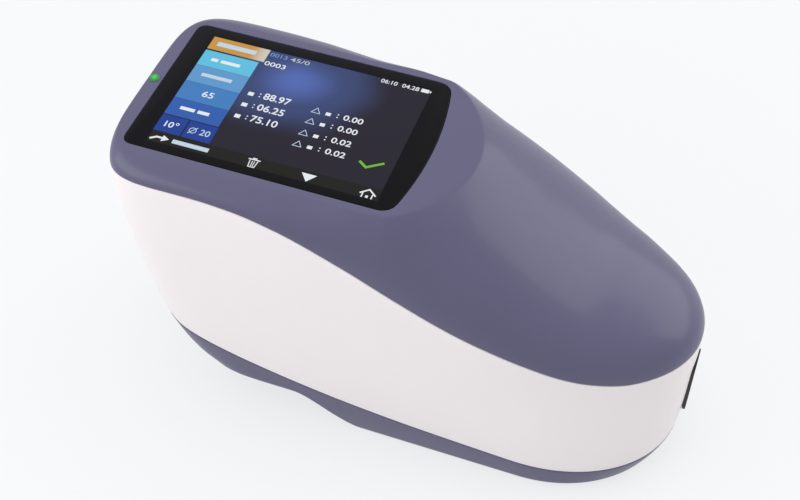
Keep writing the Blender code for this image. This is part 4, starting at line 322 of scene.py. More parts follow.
def rod(place, radius, length, steps=48, tilt=0):
    """A cylinder that starts at a place and runs along +Z, or tilted from there about X."""
    deselect()
    axis = Matrix.Rotation(tilt, 3, "X") @ Vector((0, 0, 1))
    bpy.ops.mesh.primitive_cylinder_add(vertices=steps, radius=radius, depth=length,
                                        location=Vector(place) + axis * length / 2, rotation=(tilt, 0, 0))
    return bpy.context.object


def select_parts(piece, kind, wanted):
    """Selects, in edit mode, the edges or the faces that pass a test."""
    bpy.ops.mesh.select_mode(type=kind)
    bpy.ops.mesh.select_all(action="DESELECT")
    shape = bmesh.from_edit_mesh(piece.data)
    for part in shape.edges if kind == "EDGE" else shape.faces:
        part.select = wanted(part)
    shape.select_flush_mode()
    bmesh.update_edit_mesh(piece.data)


def select_level_faces(piece, side):
    """Selects, in edit mode, the flat faces that look up, side 1, or down, side -1."""
    select_parts(piece, "FACE", lambda face: side * face.normal.z > ALIGNED)


def runs_along(axis):
    """A test for edges that run along one axis."""
    return lambda a, b: abs((b - a).normalized()[axis]) > ALIGNED


def at_height(height):
    """A test for edges that lie at one height."""
    return lambda a, b: abs(a.z - height) < NEAR and abs(b.z - height) < NEAR


def edge_round(piece, wanted, radius, steps):
    """Rounds the edges whose two ends pass a test."""
    edit(piece)
    select_parts(piece, "EDGE", lambda part: wanted(*[piece.matrix_world @ vertex.co for vertex in part.verts]))
    bpy.ops.mesh.bevel(offset=radius, offset_type="OFFSET", segments=steps, profile=0.5, affect="EDGES")
    close_edit()
    return piece


def rounded_slab(low, high, axis, corner, steps):
    """A slab with round corners about one axis."""
    return edge_round(block(low, high), runs_along(axis), corner, steps)


def spun(place, profile, steps=96, angle=2 * math.pi):
    """A piece turned about an upright axis, spun in edit mode from its section of (radius, height) corners."""
    deselect()
    bpy.ops.mesh.primitive_circle_add(vertices=len(profile), radius=0.001, fill_type="NOTHING")
    piece = bpy.context.object
    for vertex, (radius, height) in zip(piece.data.vertices, profile):
        vertex.co = (place[0] + radius, place[1], height)
    edit(piece)
    bpy.ops.mesh.spin(steps=steps, angle=angle, center=(place[0], place[1], 0), axis=(0, 0, 1))
    bpy.ops.mesh.select_all(action="SELECT")
    bpy.ops.mesh.remove_doubles(threshold=MERGE)
    if angle < 2 * math.pi:
        bpy.ops.mesh.fill_holes(sides=len(profile))
        bpy.ops.mesh.select_all(action="SELECT")
    bpy.ops.mesh.normals_make_consistent(inside=False)
    close_edit()
    return piece


def ring(place, inner, outer, low, high, edge, steps=96):
    """A turned ring, its four rims rounded where wanted."""
    if not edge:
        return spun(place, [(inner, low), (outer, low), (outer, high), (inner, high)], steps)
    profile = []
    for x, z, turn in ((inner + edge, low + edge, 180), (outer - edge, low + edge, 270),
                       (outer - edge, high - edge, 0), (inner + edge, high - edge, 90)):
        for k in range(4):
            angle = math.radians(turn + 30 * k)
            profile.append((x + edge * math.cos(angle), z + edge * math.sin(angle)))
    return spun(place, profile, steps)


def layered(name, levels):
    """A closed piece through matching loops of points, with flat ends."""
    shape = bmesh.new()
    made = [[shape.verts.new(point) for point in level] for level in levels]
    for under, over in zip(made, made[1:]):
        for k in range(len(under)):
            after = (k + 1) % len(under)
            shape.faces.new((under[k], under[after], over[after], over[k]))
    shape.faces.new(made[0][::-1])
    shape.faces.new(made[-1])
    return as_piece(name, shape)


def oblong(name, place_of, half_long, half_short, levels):
    """A closed oblong with round ends; each level is an inset of the outline and a depth."""
    steps = 32
    made = []
    for inset, depth in levels:
        radius = half_short - inset
        level = []
        for sign in (1, -1):
            for k in range(steps + 1):
                angle = math.pi * (k / steps - 0.5)
                level.append(place_of(sign * (half_long - half_short + radius * math.cos(angle)),
                                      sign * radius * math.sin(angle), depth))
        made.append(level)
    return layered(name, made)


def round_rim(edge, face):
    """Levels of a rounded rim that ends flat at a face."""
    return [(edge * (1 - math.cos(angle)), face - edge * (1 - math.sin(angle))) for angle in quarter(6)]


def middle_of(node):
    """The middle of a solid's box."""
    low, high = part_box(node)
    return (low + high) / 2


# Top cover
CREASE_SOFTNESS = 0.00014
CREASE_ROOM = 0.006
NEAR_CREASE = (0.002, 0.0014, 0.001, 0.0007, 0.00045, 0.00022, 0)
CREASE_CLEAR = 0.0002
LEAST_RISE = 0.00002
SHOULDER_STEPS = 32
SHOULDER_STEPS_KEPT = 7
LAND_SHARES = (0.6, 0.8, 1)
PLATEAU_MIDDLE_X = -0.036
PLATEAU_LEAST_REACH = 0.005
SIDE_ANCHOR_X = 0.016
LED_HOLE_RADIUS = 0.0015
LED_HOLE_DEPTH = 0.005
SHELL_SMOOTH = 32

# How far the loops of the glass seat stand outside the outline of the glass
SEAT_LAND = 0.0006
SEAT_ROUND = (0.00028, 0.00018)
SEAT_ROUND_DROP = (0, 0.00004, 0.00014)
SEAT_WALL = 0.00015
LEDGE_INNER = -0.0014
LEDGE_BACK = 0.0013


def polar_table(points, centre):
    """Angles and radii of outline points about a centre on the spine, in order of angle."""
    pairs = sorted((math.atan2(y, x - centre), math.hypot(x - centre, y)) for x, y in points)
    return np.array([a for a, r in pairs]), np.array([r for a, r in pairs])


seam_points = [on_level(station, upper_seam) for station in stations]
seam_outline = [(x, y) for x, y, z in seam_points]
seam_x = np.array([x for x, y, z in seam_points][::-1])
seam_y = np.array([y for x, y, z in seam_points][::-1])
fans = {spine: polar_table(seam_outline, spine) for spine in (SPINE_END_X, SPINE_NOSE_X)}


def crown(x, y):
    """Height of the crowned cover over a place in plan, before the plateau is cut."""
    y = abs(y)
    spine = min(max(x, SPINE_END_X), SPINE_NOSE_X)
    if spine == x:
        reach = y / float(np.interp(x, seam_x, seam_y))
        low = upper_seam(x)
    else:
        angle = math.atan2(y, x - spine)
        radius = float(np.interp(angle, *fans[spine]))
        reach = math.hypot(x - spine, y) / radius
        low = upper_seam(spine + radius * math.cos(angle))
    lift = math.sqrt(1 - min(reach, 1) ** crown_power_at(x / HALF_LENGTH))
    return low + (PLATEAU * crest_at(x / HALF_LENGTH) - low) * lift


def eased(height):
    """Height under the plateau, with a small round where the two meet."""
    half = (height - PLATEAU) / 2
    return (height + PLATEAU) / 2 - math.sqrt(half * half + CREASE_SOFTNESS * CREASE_SOFTNESS)


def crease_loop():
    """Half outline of the flat plateau, from its front middle to the middle of the screen end."""
    table = polar_table(seam_outline, PLATEAU_MIDDLE_X)
    steps, halvings = 360, 40
    loop = []
    for k in range(steps + 1):
        angle = k / steps * math.pi
        near = PLATEAU_LEAST_REACH
        far = float(np.interp(angle, *table))
        for _ in range(halvings):
            middle = (near + far) / 2
            if crown(PLATEAU_MIDDLE_X + middle * math.cos(angle), middle * math.sin(angle)) > PLATEAU:
                near = middle
            else:
                far = middle
        loop.append((PLATEAU_MIDDLE_X + near * math.cos(angle), max(near * math.sin(angle), 0)))
    loop[0] = (loop[0][0], 0)
    loop[-1] = (loop[-1][0], 0)
    return loop


# Outline of the cover glass
GLASS_END_X = -0.0861
GLASS_CORNER_X = -0.0012
GLASS_BULGE = 0.0037
GLASS_WIDTH = 0.056
GLASS_CORNER = 0.0034
GLASS_NOSE_CORNER = 0.0042
glass_low, glass_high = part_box("touch_glass")


def glass_half(grow):
    """Half outline of the cover glass, from its bowed front edge to the middle of the screen end."""
    front, side, end = 40, 60, 30
    half = GLASS_WIDTH / 2 + grow
    corner_x = GLASS_CORNER_X + grow
    end_x = GLASS_END_X - grow
    points = [(corner_x + GLASS_BULGE * (1 - (k / front) ** 2), half * k / front) for k in range(front + 1)]
    points += [(corner_x + (end_x - corner_x) * k / side, half) for k in range(1, side + 1)]
    points += [(end_x, half * (1 - k / end)) for k in range(1, end + 1)]
    return round_corner(round_corner(points, (corner_x, half), GLASS_NOSE_CORNER + grow),
                        (end_x, half), GLASS_CORNER + grow)


def round_corner(points, corner, radius):
    """Takes away the points nearer to a corner than its radius and puts a curve there."""
    k = min(range(len(points)), key=lambda index: math.dist(points[index], corner))
    before = k
    while math.dist(points[before], corner) < radius:
        before -= 1
    after = k
    while math.dist(points[after], corner) < radius:
        after += 1
    here = Vector(corner)
    start = here.lerp(Vector(points[before]), radius / math.dist(points[before], corner))
    finish = here.lerp(Vector(points[after]), radius / math.dist(points[after], corner))
    steps = 12
    curve = []
    for step in range(steps + 1):
        t = step / steps
        point = start * (1 - t) ** 2 + here * (2 * t * (1 - t)) + finish * t ** 2
        curve.append((point.x, point.y))
    return points[:before + 1] + curve + points[after:]


def marks_of(loop, anchors):
    """Lengths along a half loop to each of its points, and those to its ends and its anchor points."""
    lengths = [0]
    for before, after in zip(loop, loop[1:]):
        lengths.append(lengths[-1] + math.dist(before, after))
    return lengths, [0] + [lengths[index] for index in anchors] + [lengths[-1]]


def matched(loop, shares):
    """Points along a half loop at shares that run from anchor to anchor, its two furthest corners."""
    lengths, marks = marks_of(loop, [furthest(loop, 1), furthest(loop, -1)])
    places = np.interp(shares, range(len(marks)), marks)
    xs = np.interp(places, lengths, [x for x, y in loop])
    ys = np.interp(places, lengths, [y for x, y in loop])
    return [(float(x), float(y)) for x, y in zip(xs, ys)]


def furthest(loop, lean):
    """The point of a half loop that lies furthest out towards the nose corner, lean 1, or the end corner, -1."""
    return max(range(len(loop)), key=lambda index: lean * loop[index][0] + loop[index][1])


def shoulder_weights(run, near):
    """Shares of the way from the seam to the crease, closer together near the two."""
    count = SHOULDER_STEPS + 2
    weights = [1 - math.cos(j / count * math.pi / 2) for j in range(1, count)]
    weights = [weight for weight in weights if weight < 1 - near[0] - CREASE_CLEAR / run]
    return fill(weights, SHOULDER_STEPS) + [1 - share for share in near]


def make_top_cover():
    """Grey cover: a seam lip, the crowned shoulder, the flat plateau, the seat of the glass and an inner wall."""
    side = min(range(len(stations)), key=lambda index: abs(seam_outline[index][0] - SIDE_ANCHOR_X))
    lengths, marks = marks_of(seam_outline, [side, furthest(seam_outline, -1)])
    shares = np.interp(lengths, marks, range(len(marks)))
    creases = matched(crease_loop(), shares)
    land, *rounds, wall, inner, back = [
        matched(glass_half(grow), shares) for grow in (SEAT_LAND, *SEAT_ROUND, SEAT_WALL, LEDGE_INNER, LEDGE_BACK)]
    rows = []
    for k, station in enumerate(stations):
        x, y, z = seam_points[k]
        row = seam_edge(station, z, 1)
        cx, cy = creases[k]
        run = math.dist((x, y), (cx, cy))
        scale = min(1, run / CREASE_ROOM)
        for weight in shoulder_weights(run, [distance * scale / run for distance in NEAR_CREASE]):
            px, py = x + (cx - x) * weight, y + (cy - y) * weight
            row.append((px, py, eased(max(crown(px, py), row[-1][2] + LEAST_RISE))))
        gx, gy = land[k]
        run = math.dist((cx, cy), (gx, gy))
        scale = min(1, run / CREASE_ROOM)
        for weight in [distance * scale / run for distance in NEAR_CREASE[-2::-1]] + [*LAND_SHARES]:
            px, py = cx + (gx - cx) * weight, cy + (gy - cy) * weight
            row.append((px, py, eased(crown(px, py))))
        rows.append(row)
    outer = np.array(rows)
    inside = outer - LIP * grid_normals(outer)
    ledge = glass_low.z - GAP
    closed = []
    for k, station in enumerate(stations):
        z = seam_points[k][2]
        row = rows[k]
        top = row[-1][2]
        row += [(*loop[k], top - drop) for loop, drop in zip([*rounds, wall], SEAT_ROUND_DROP)]
        row += [(*wall[k], ledge), (*inner[k], ledge), (*inner[k], ledge - LIP), (*back[k], ledge - LIP),
                (*back[k], PLATEAU - LIP)]
        for px, py, pz in inside[k][SEAM_ROUND_STEPS:SEAM_ROUND_STEPS + 1 + SHOULDER_STEPS:2][::-1]:
            row.append((px, max(py, 0), min(pz, PLATEAU - LIP)))
        row.append((*plan_place(station, z, LIP), z))
        closed.append(row)
    cover = skin("top_cover", closed, True)
    light = middle_of("status_led")
    carve(cover, rod((light.x, light.y, PLATEAU - LED_HOLE_DEPTH), LED_HOLE_RADIUS, LED_HOLE_DEPTH + OVERRUN))
    complete(cover, "top_cover", "shell_grey", "top_shell", angle=SHELL_SMOOTH)


def grid_normals(grid):
    """Outward directions of a half surface given as rows of points, the other half its mirror image."""
    mirror = np.array([1, -1, 1])
    wide = np.concatenate([grid[1:2] * mirror, grid, grid[-2:-1] * mirror])
    across = wide[2:] - wide[:-2]
    up = np.gradient(grid, axis=1)
    normals = np.cross(across, up)
    normals /= np.linalg.norm(normals, axis=2, keepdims=True)
    shoulder = normals[len(grid) // 2, 8]
    if shoulder[1] < 0:
        normals = -normals
    return normals


def fill(weights, count):
    """Halves the widest steps of a list, or joins its narrowest ones except near its end, until it has a length."""
    weights = sorted(weights)
    while len(weights) < count:
        k = max(range(1, len(weights)), key=lambda index: weights[index] - weights[index - 1])
        weights.insert(k, (weights[k] + weights[k - 1]) / 2)
    while len(weights) > count:
        k = min(range(2, len(weights) - SHOULDER_STEPS_KEPT),
                key=lambda index: weights[index + 1] - weights[index - 1])
        weights.pop(k)
    return weights


# Places of the small outer pieces
KEY_X = -0.0220
KEY_Z = 0.0640
KEY_LENGTH = 0.0220
KEY_WIDTH = 0.0090
KEY_EDGE = 0.0005
key_low, key_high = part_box("measure_key")
KEY_FACE_Y = key_high.y
KEY_BACK_Y = key_low.y
panel_low, panel_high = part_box("port_panel")
PANEL_FRONT = panel_high.x
PANEL_MIDDLE_Z = (panel_low.z + panel_high.z) / 2
PANEL_HALF_Z = (panel_high.z - panel_low.z) / 2
PANEL_HALF_Y = (panel_high.y - panel_low.y) / 2
knob_low, knob_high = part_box("power_switch")
socket_low, socket_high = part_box("usb_socket")


def at_key(run, across, depth):
    """A place of the key's oblong: along it, across it and outwards."""
    return KEY_X + run, depth, KEY_Z + across


def at_panel(run, across, depth):
    """A place of the nose panel's oblong: along it, across it and outwards."""
    return depth, across, PANEL_MIDDLE_Z + run


# White band
POCKET_DEPTH = 0.0014
PANEL_HOLE_DEPTH = 0.006
PANEL_RIM = 0.0007
PANEL_SUNK = 0.002
KEY_BEVEL = 0.0003
KEY_BEVEL_DEPTH = 0.0002
KEY_HOLE_INSIDE = 0.033
KEY_HOLE_OUTSIDE = 0.042
BAND_STEPS = 24


def make_side_band():
    """White band with rounded seam edges, the tongues that the covers fit over, and its openings."""
    rows = []
    for station in stations:
        top = on_level(station, lambda x: upper_seam(x) - SEAM_GAP)[2]
        low = on_level(station, lower_seam)[2]
        row = seam_edge(station, low, 1)
        levels = [(low + SEAM_RADIUS + (top - low - 2 * SEAM_RADIUS) * k / BAND_STEPS, 0)
                  for k in range(1, BAND_STEPS)]
        row += wall_points(station, levels) + seam_edge(station, top, -1)[::-1]
        levels = [(top, LIP + GAP), (top + TONGUE, LIP + GAP), (top + TONGUE, WALL)]
        levels += [(top - (top - low) * k / 4, WALL) for k in range(5)]
        levels += [(low - TONGUE, WALL), (low - TONGUE, LIP + GAP), (low, LIP + GAP)]
        rows.append(row + wall_points(station, levels))
    band = skin("side_band", rows, True)
    half_y, half_z = PANEL_HALF_Y + GAP, PANEL_HALF_Z + GAP
    past = HALF_LENGTH + OVERRUN
    carve(band, oblong("pocket", at_panel, half_z, half_y, [(0, HALF_LENGTH - POCKET_DEPTH), (0, past)]))
    carve(band, oblong("panel_hole", at_panel, half_z - PANEL_RIM, half_y - PANEL_RIM,
                       [(0, HALF_LENGTH - PANEL_HOLE_DEPTH), (0, past)]))
    carve(band, oblong("key_hole", at_key, KEY_LENGTH / 2 + GAP, KEY_WIDTH / 2 + GAP,
                       [(0, KEY_HOLE_INSIDE), (0, KEY_FACE_Y - KEY_BEVEL_DEPTH),
                        (-KEY_BEVEL, KEY_FACE_Y - KEY_BEVEL_DEPTH + KEY_BEVEL), (-KEY_BEVEL, KEY_HOLE_OUTSIDE)]))
    light = middle_of("status_led")
    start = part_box("status_led")[0].z - GAP
    carve(band, rod((light.x, light.y, start), LED_HOLE_RADIUS, PLATEAU - start))
    complete(band, "side_band", "band_white", "middle_band", angle=SHELL_SMOOTH)


# Lower housing
PORT_X = -0.0470
PORT_RADIUS = 0.015
PORT_BOSS_RADIUS = 0.0182
SEAL_GROOVE = (0.0154, 0.0181)
SEAL_GROOVE_TOP = 0.0015
BAY_FLANGE = ((-0.0042, -0.0226), (0.0722, 0.0226), 0.0052)
BAY_WALLS = ((0.0004, -0.0196), (0.0676, 0.0196), 0.0206)
BAY_OPENING = ((0.002, -0.018), (0.066, 0.018), 0.019)
DOOR_LOW = (-0.001, -0.021)
DOOR_HIGH = (0.069, 0.021)
DOOR_CORNER = 0.003
DOOR_RECESS = 0.0027
CATCH_BOSS = ((0.0779, -0.0085), (0.0847, 0.0085))
CATCH_LOW = (0.0805, -0.0065, 0.014)
CATCH_HIGH = (0.0821, 0.0065, 0.018)
POST_RADIUS = 0.0035
SCREW_HEAD_RADIUS = 0.0027
SCREW_HOLE_RADIUS = 0.0016
SCREW_SEAT = 0.008
PAD_RADIUS = 0.0045
PAD_RECESS_RADIUS = 0.0048
PAD_RECESS = 0.0016
posts = [(0.057, -0.0255, 0.0225), (0.057, 0.0255, 0.0225), (0.003, -0.031, 0.045), (0.003, 0.031, 0.045)]
feet = ("front_right_foot", "front_left_foot", "rear_right_foot", "rear_left_foot")

# Bayonet of the measuring aperture: three ledges in the port and three lugs on the ring
LEDGE_RADII = (0.0131, 0.01535)
LEDGE_LOW = 0.0026
LEDGE_TOP = 0.0040
LUG_INNER = 0.0122
LUG_LOW = 0.0043
LUG_TOP = 0.0059
LUG_ANGLE = math.radians(26)
lug_turns = [k * 2 * math.pi / 3 for k in range(3)]


def make_lower_housing():
    """Grey base: rounded bottom edge, raised screen end, port boss, battery bay, screw wells and pad recesses."""
    rows = []
    for station in stations:
        seam = on_level(station, lambda x: lower_seam(x) - SEAM_GAP)[2]
        bottom = on_level(station, underside)[2]
        floor = bottom + FLOOR
        rebate = seam - TONGUE - GAP
        row = [(plan_place(station, floor, WALL)[0], 0, floor)]
        levels = [(floor + (rebate - bottom - FLOOR) * k / 4, WALL) for k in range(5)] + [(rebate, LIP), (seam, LIP)]
        row += wall_points(station, levels) + seam_edge(station, seam, -1)
        edge = bottom + EDGE_RADIUS
        steps = 13
        levels = [(seam - SEAM_RADIUS + (edge - seam + SEAM_RADIUS) * k / steps, 0)
                  for k in range(1, steps + 1)]
        levels += [(edge - EDGE_RADIUS * math.sin(angle), EDGE_RADIUS * (1 - math.cos(angle)))
                   for angle in quarter(7)[1:]]
        row += wall_points(station, levels)
        row.append((row[-1][0], 0, bottom))
        rows.append(row)
    base = skin("lower_housing", rows, False)

    inside = FOOT_HEIGHT + FLOOR / 2
    carve(base, rod((PORT_X, 0, FOOT_HEIGHT), PORT_BOSS_RADIUS, END_RISE + FLOOR / 2 - FOOT_HEIGHT, 96), "UNION")
    for (low, high, top), start in ((BAY_FLANGE, inside), (BAY_WALLS, inside + GAP),
                                    ((*CATCH_BOSS, CATCH_HIGH[2]), inside)):
        carve(base, block((*low, start), (*high, top)), "UNION")
    for x, y, split in posts:
        carve(base, rod((x, y, inside), POST_RADIUS, split - inside, 32), "UNION")

    below = -OVERRUN
    bay_low, bay_high, bay_top = BAY_OPENING
    carve(base, block((*bay_low, below), (*bay_high, bay_top)))
    carve(base, rounded_slab((DOOR_LOW[0] - GAP, DOOR_LOW[1] - GAP, below),
                             (DOOR_HIGH[0] + GAP, DOOR_HIGH[1] + GAP, DOOR_RECESS), 2, DOOR_CORNER + GAP, 8))
    carve(base, rod((PORT_X, 0, below), PORT_RADIUS, END_RISE + FLOOR + 2 * OVERRUN, 96))
    carve(base, ring((PORT_X, 0), *SEAL_GROOVE, below, SEAL_GROOVE_TOP, 0))
    carve(base, block([place - GAP for place in CATCH_LOW],
                      (CATCH_HIGH[0] + GAP, CATCH_HIGH[1] + GAP, CATCH_HIGH[2] + OVERRUN)))
    for x, y, split in posts:
        carve(base, rod((x, y, below), SCREW_HEAD_RADIUS, split - SCREW_SEAT + OVERRUN, 32))
        carve(base, rod((x, y, below), SCREW_HOLE_RADIUS, split + 2 * OVERRUN, 24))
    for name in feet:
        middle = middle_of(name)
        carve(base, rod((middle.x, middle.y, below), PAD_RECESS_RADIUS, PAD_RECESS + OVERRUN))
    for turn in lug_turns:
        carve(base, lug(turn, *LEDGE_RADII, LEDGE_LOW, LEDGE_TOP), "UNION")
    complete(base, "lower_housing", "shell_grey", "base_shell", angle=SHELL_SMOOTH)


# Small pieces of the outside
KEY_FLANGE = 0.0014
KEY_STEM_RADIUS = 0.0020
SOCKET_CORNER = 0.0012
PIPE_RADIUS = 0.0012
PIPE_HEAD_RADIUS = 0.0017
TILT_TO_Y = -math.pi / 2


def make_side_key():
    """Oblong push key with a rounded rim and a dished face, on its flange and stem."""
    face = KEY_FACE_Y
    stem_end = face - 0.0039
    rim_land, dish_run, dish_depth, steps = 0.0001, 0.0032, 0.0004, 12
    levels = [(0, face - 0.0034)] + round_rim(KEY_EDGE, face)
    for k in range(1, steps + 1):
        share = k / steps
        levels.append((KEY_EDGE + rim_land + dish_run * share,
                       face - dish_depth / 2 * (1 - math.cos(share * math.pi))))
    key = oblong("side_key", at_key, KEY_LENGTH / 2, KEY_WIDTH / 2, levels)
    carve(key, oblong("flange", at_key, KEY_LENGTH / 2 + KEY_FLANGE, KEY_WIDTH / 2 + KEY_FLANGE,
                      [(0, face - 0.0044), (0, face - 0.0031)]), "UNION")
    carve(key, rod((KEY_X, KEY_BACK_Y, KEY_Z), KEY_STEM_RADIUS, stem_end - KEY_BACK_Y, 24, TILT_TO_Y), "UNION")
    complete(key, "side_key", "shell_grey", "measure_key", body="key")


def make_nose_panel():
    """Black panel with a rounded rim, a sunk floor, a guide slot and a socket window."""
    front = PANEL_FRONT
    plate, rear, border, soft = 0.0011, 0.0005, 0.0009, 0.0002
    panel = oblong("nose_panel", at_panel, PANEL_HALF_Z, PANEL_HALF_Y,
                   [(0, front - plate)] + round_rim(0.0003, front))
    carve(panel, oblong("back", at_panel, PANEL_HALF_Z - PANEL_RIM, PANEL_HALF_Y - PANEL_RIM,
                        [(0, panel_low.x), (0, front - rear)]), "UNION")
    carve(panel, oblong("sunk", at_panel, PANEL_HALF_Z - border, PANEL_HALF_Y - border,
                        [(soft, front - PANEL_SUNK), (0, front - PANEL_SUNK + soft), (0, front - soft),
                         (-2 * soft, front + soft)]))
    middle = (knob_low.z + knob_high.z) / 2
    slot_half, slot_down, slot_up = 0.0014, 0.0058, 0.0018
    behind = panel_low.x - OVERRUN
    carve(panel, block((behind, -slot_half, middle - slot_down), (front, slot_half, middle + slot_up)))
    carve(panel, rounded_slab((behind, socket_low.y - GAP, socket_low.z - GAP),
                              (front, socket_high.y + GAP, socket_high.z + GAP), 0, SOCKET_CORNER, 8))
    complete(panel, "nose_panel", "black_plastic", "port_panel")


def make_slider():
    """Slider knob with round corners and rounded finger ribs, and its stem."""
    back = PANEL_FRONT - PANEL_SUNK + GAP
    front = knob_high.x
    half = knob_high.y
    low, high = knob_low.z, knob_high.z
    corner, groove, grooves = 0.0008, 0.00055, 6
    stem_half, stem_height = 0.0011, 0.003
    knob = rounded_slab((back, -half, low), (front, half, high), 0, corner, 6)
    pitch = (high - low) / (grooves + 1)
    for k in range(grooves):
        z = (low + high) / 2 + (k - (grooves - 1) / 2) * pitch
        carve(knob, rod((front + 0.0002, -half - OVERRUN, z), groove, 2 * half + 2 * OVERRUN, 20, TILT_TO_Y))
    ease_edges(knob, 0.00012)
    stem_low = (low + high) / 2 - stem_height / 2
    carve(knob, block((knob_low.x, -stem_half, stem_low), (back + corner, stem_half, stem_low + stem_height)),
          "UNION")
    complete(knob, "ribbed_slider", "black_plastic", "power_switch", body="switch")


def make_socket():
    """Folded metal shell of the socket, with round corners."""
    wall = 0.0003
    shell = rounded_slab(socket_low, socket_high, 0, SOCKET_CORNER, 8)
    carve(shell, rounded_slab((socket_high.x - 0.006, socket_low.y + wall, socket_low.z + wall),
                              (socket_high.x + OVERRUN, socket_high.y - wall, socket_high.z - wall), 0,
                              SOCKET_CORNER - wall, 8))
    ease_edges(shell, 0.00006)
    complete(shell, "socket_shell", "screw_steel", "usb_socket")


def make_socket_tongue():
    """Plastic tongue that carries the contacts in the socket."""
    half, clear_height, length, sunk = 0.00035, 0.0012, 0.0059, 0.0004
    tongue = rounded_slab((socket_high.x - length, -half, socket_low.z + clear_height),
                          (socket_high.x - sunk, half, socket_high.z - clear_height), 1, 0.0003, 4)
    complete(tongue, "socket_tongue", "black_plastic")


def make_door():
    """Battery door with round corners, a rounded rim, a grooved finger grip and its hook."""
    low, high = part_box("battery_door")
    thickness, groove, pitch, grip_half = 0.0018, 0.0008, 0.0028, 0.005
    hook, hook_half, hook_start = 0.0012, 0.004, 0.0009
    door = rounded_slab(low, (high.x, high.y, low.z + thickness), 2, DOOR_CORNER, 10)
    edge_round(door, at_height(low.z), 0.0003, 3)
    bay_end = BAY_OPENING[1][0]
    for k in range(3):
        x = bay_end - pitch * (k + 1) + groove
        carve(door, rod((x, -grip_half, low.z - 0.0002), groove, 2 * grip_half, 20, TILT_TO_Y))
    carve(door, block((bay_end - GAP - hook, -hook_half, low.z + hook_start), (bay_end - GAP, hook_half, high.z)),
          "UNION")
    complete(door, "bay_door", "shell_grey", "battery_door", body="door")


def make_aperture():
    """Turned bayonet ring with the 20 mm measuring aperture, lugs and two grip notches."""
    low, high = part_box("aperture_ring")
    face = low.z
    flange_top = face + 0.0018
    outer = 0.0147
    tube = 0.0128
    hole = 0.0100
    cone_top = 0.0115
    aperture = spun((PORT_X, 0), [
        (tube, high.z), (tube, flange_top), (outer, flange_top), (outer, face + 0.0003),
        (outer - 0.0001, face + 0.0001), (outer - 0.0003, face), (hole + 0.0002, face), (hole, face + 0.0002),
        (hole, face + 0.0006), (cone_top, flange_top), (cone_top, high.z)])
    for turn in lug_turns:
        carve(aperture, lug(turn, LUG_INNER, outer, LUG_LOW, LUG_TOP), "UNION")
    notch, notch_depth = 0.0012, 0.0009
    for sign in (-1, 1):
        carve(aperture, rod((PORT_X, sign * (outer + notch / 2), face - OVERRUN), notch, OVERRUN + notch_depth, 24))
    complete(aperture, "measuring_aperture", "black_plastic", "aperture_ring", body="aperture")


def lug(turn, inner, outer, low, high):
    """A bayonet lug or ledge: a block bent round the measuring axis."""
    piece = spun((PORT_X, 0), [(inner, low), (outer, low), (outer, high), (inner, high)], 10, LUG_ANGLE)
    piece.data.transform(Matrix.Translation((PORT_X, 0, 0)) @ Matrix.Rotation(turn - LUG_ANGLE / 2, 4, "Z")
                         @ Matrix.Translation((-PORT_X, 0, 0)))
    return piece


def make_seal():
    """Soft ring round the measuring port, with rounded rims."""
    low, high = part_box("port_seal")
    inner, outer = SEAL_GROOVE
    seal = ring((PORT_X, 0), inner + GAP, outer - GAP, low.z, high.z, 0.0004)
    complete(seal, "port_rest_ring", "soft_black", "port_seal", angle=40)


def make_foot(name):
    """Rubber pad with a rounded rim and a slightly sunk face."""
    low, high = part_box(name)
    middle = middle_of(name)
    foot = rod((middle.x, middle.y, low.z), PAD_RADIUS, high.z - low.z, 64)
    edge_round(foot, at_height(low.z), 0.00035, 4)
    edit(foot)
    select_level_faces(foot, -1)
    bpy.ops.mesh.inset(thickness=0.0006, depth=0)
    bpy.ops.mesh.inset(thickness=0.0002, depth=-0.00012)
    close_edit()
    complete(foot, name + "_pad", "soft_black", name)


def make_status_dome():
    """Moulded light pipe with a domed head that covers the rim of its hole."""
    low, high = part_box("status_led")
    middle = middle_of("status_led")
    brim = 0.0001
    pipe = rod((middle.x, middle.y, low.z), PIPE_RADIUS, PLATEAU - low.z)
    edit(pipe)
    select_level_faces(pipe, 1)
    bpy.ops.mesh.extrude_region_move(TRANSFORM_OT_translate={"value": (0, 0, brim / 5)})
    wider = PIPE_HEAD_RADIUS / PIPE_RADIUS
    bpy.ops.transform.resize(value=(wider, wider, 1), center_override=(middle.x, middle.y, PLATEAU))
    bpy.ops.mesh.extrude_region_move(TRANSFORM_OT_translate={"value": (0, 0, brim)})
    rise = high.z - PLATEAU - brim * 6 / 5
    turns = quarter(8)[:-1]
    for before, turn in zip(turns, turns[1:]):
        bpy.ops.mesh.inset(thickness=PIPE_HEAD_RADIUS * (math.cos(before) - math.cos(turn)),
                           depth=rise * (math.sin(turn) - math.sin(before)))
    close_edit()
    complete(pipe, "status_light", "light_green", "status_led", angle=50)


# Black cover glass and the lit picture in its window
GLASS_FACE = glass_high.z
GLASS_RIM = 0.0003
WINDOW_FLOOR = GLASS_FACE - 0.0004
PRINT_TOP = GLASS_FACE - 0.00015
PICTURE_TOP = GLASS_FACE - 0.00013
MARK_LOW = GLASS_FACE - 0.00012
MARK_TOP = GLASS_FACE - 0.00009
SHIFT_X = 0.0007
SHIFT_Y = -0.0008
MM = 0.001


def on_screen(x, y):
    """A place of the picture that is given in millimetres."""
    return x * MM + SHIFT_X, y * MM + SHIFT_Y


PICTURE_LOW = on_screen(-80.1, -24.2)
PICTURE_HIGH = on_screen(-6.7, 24.8)


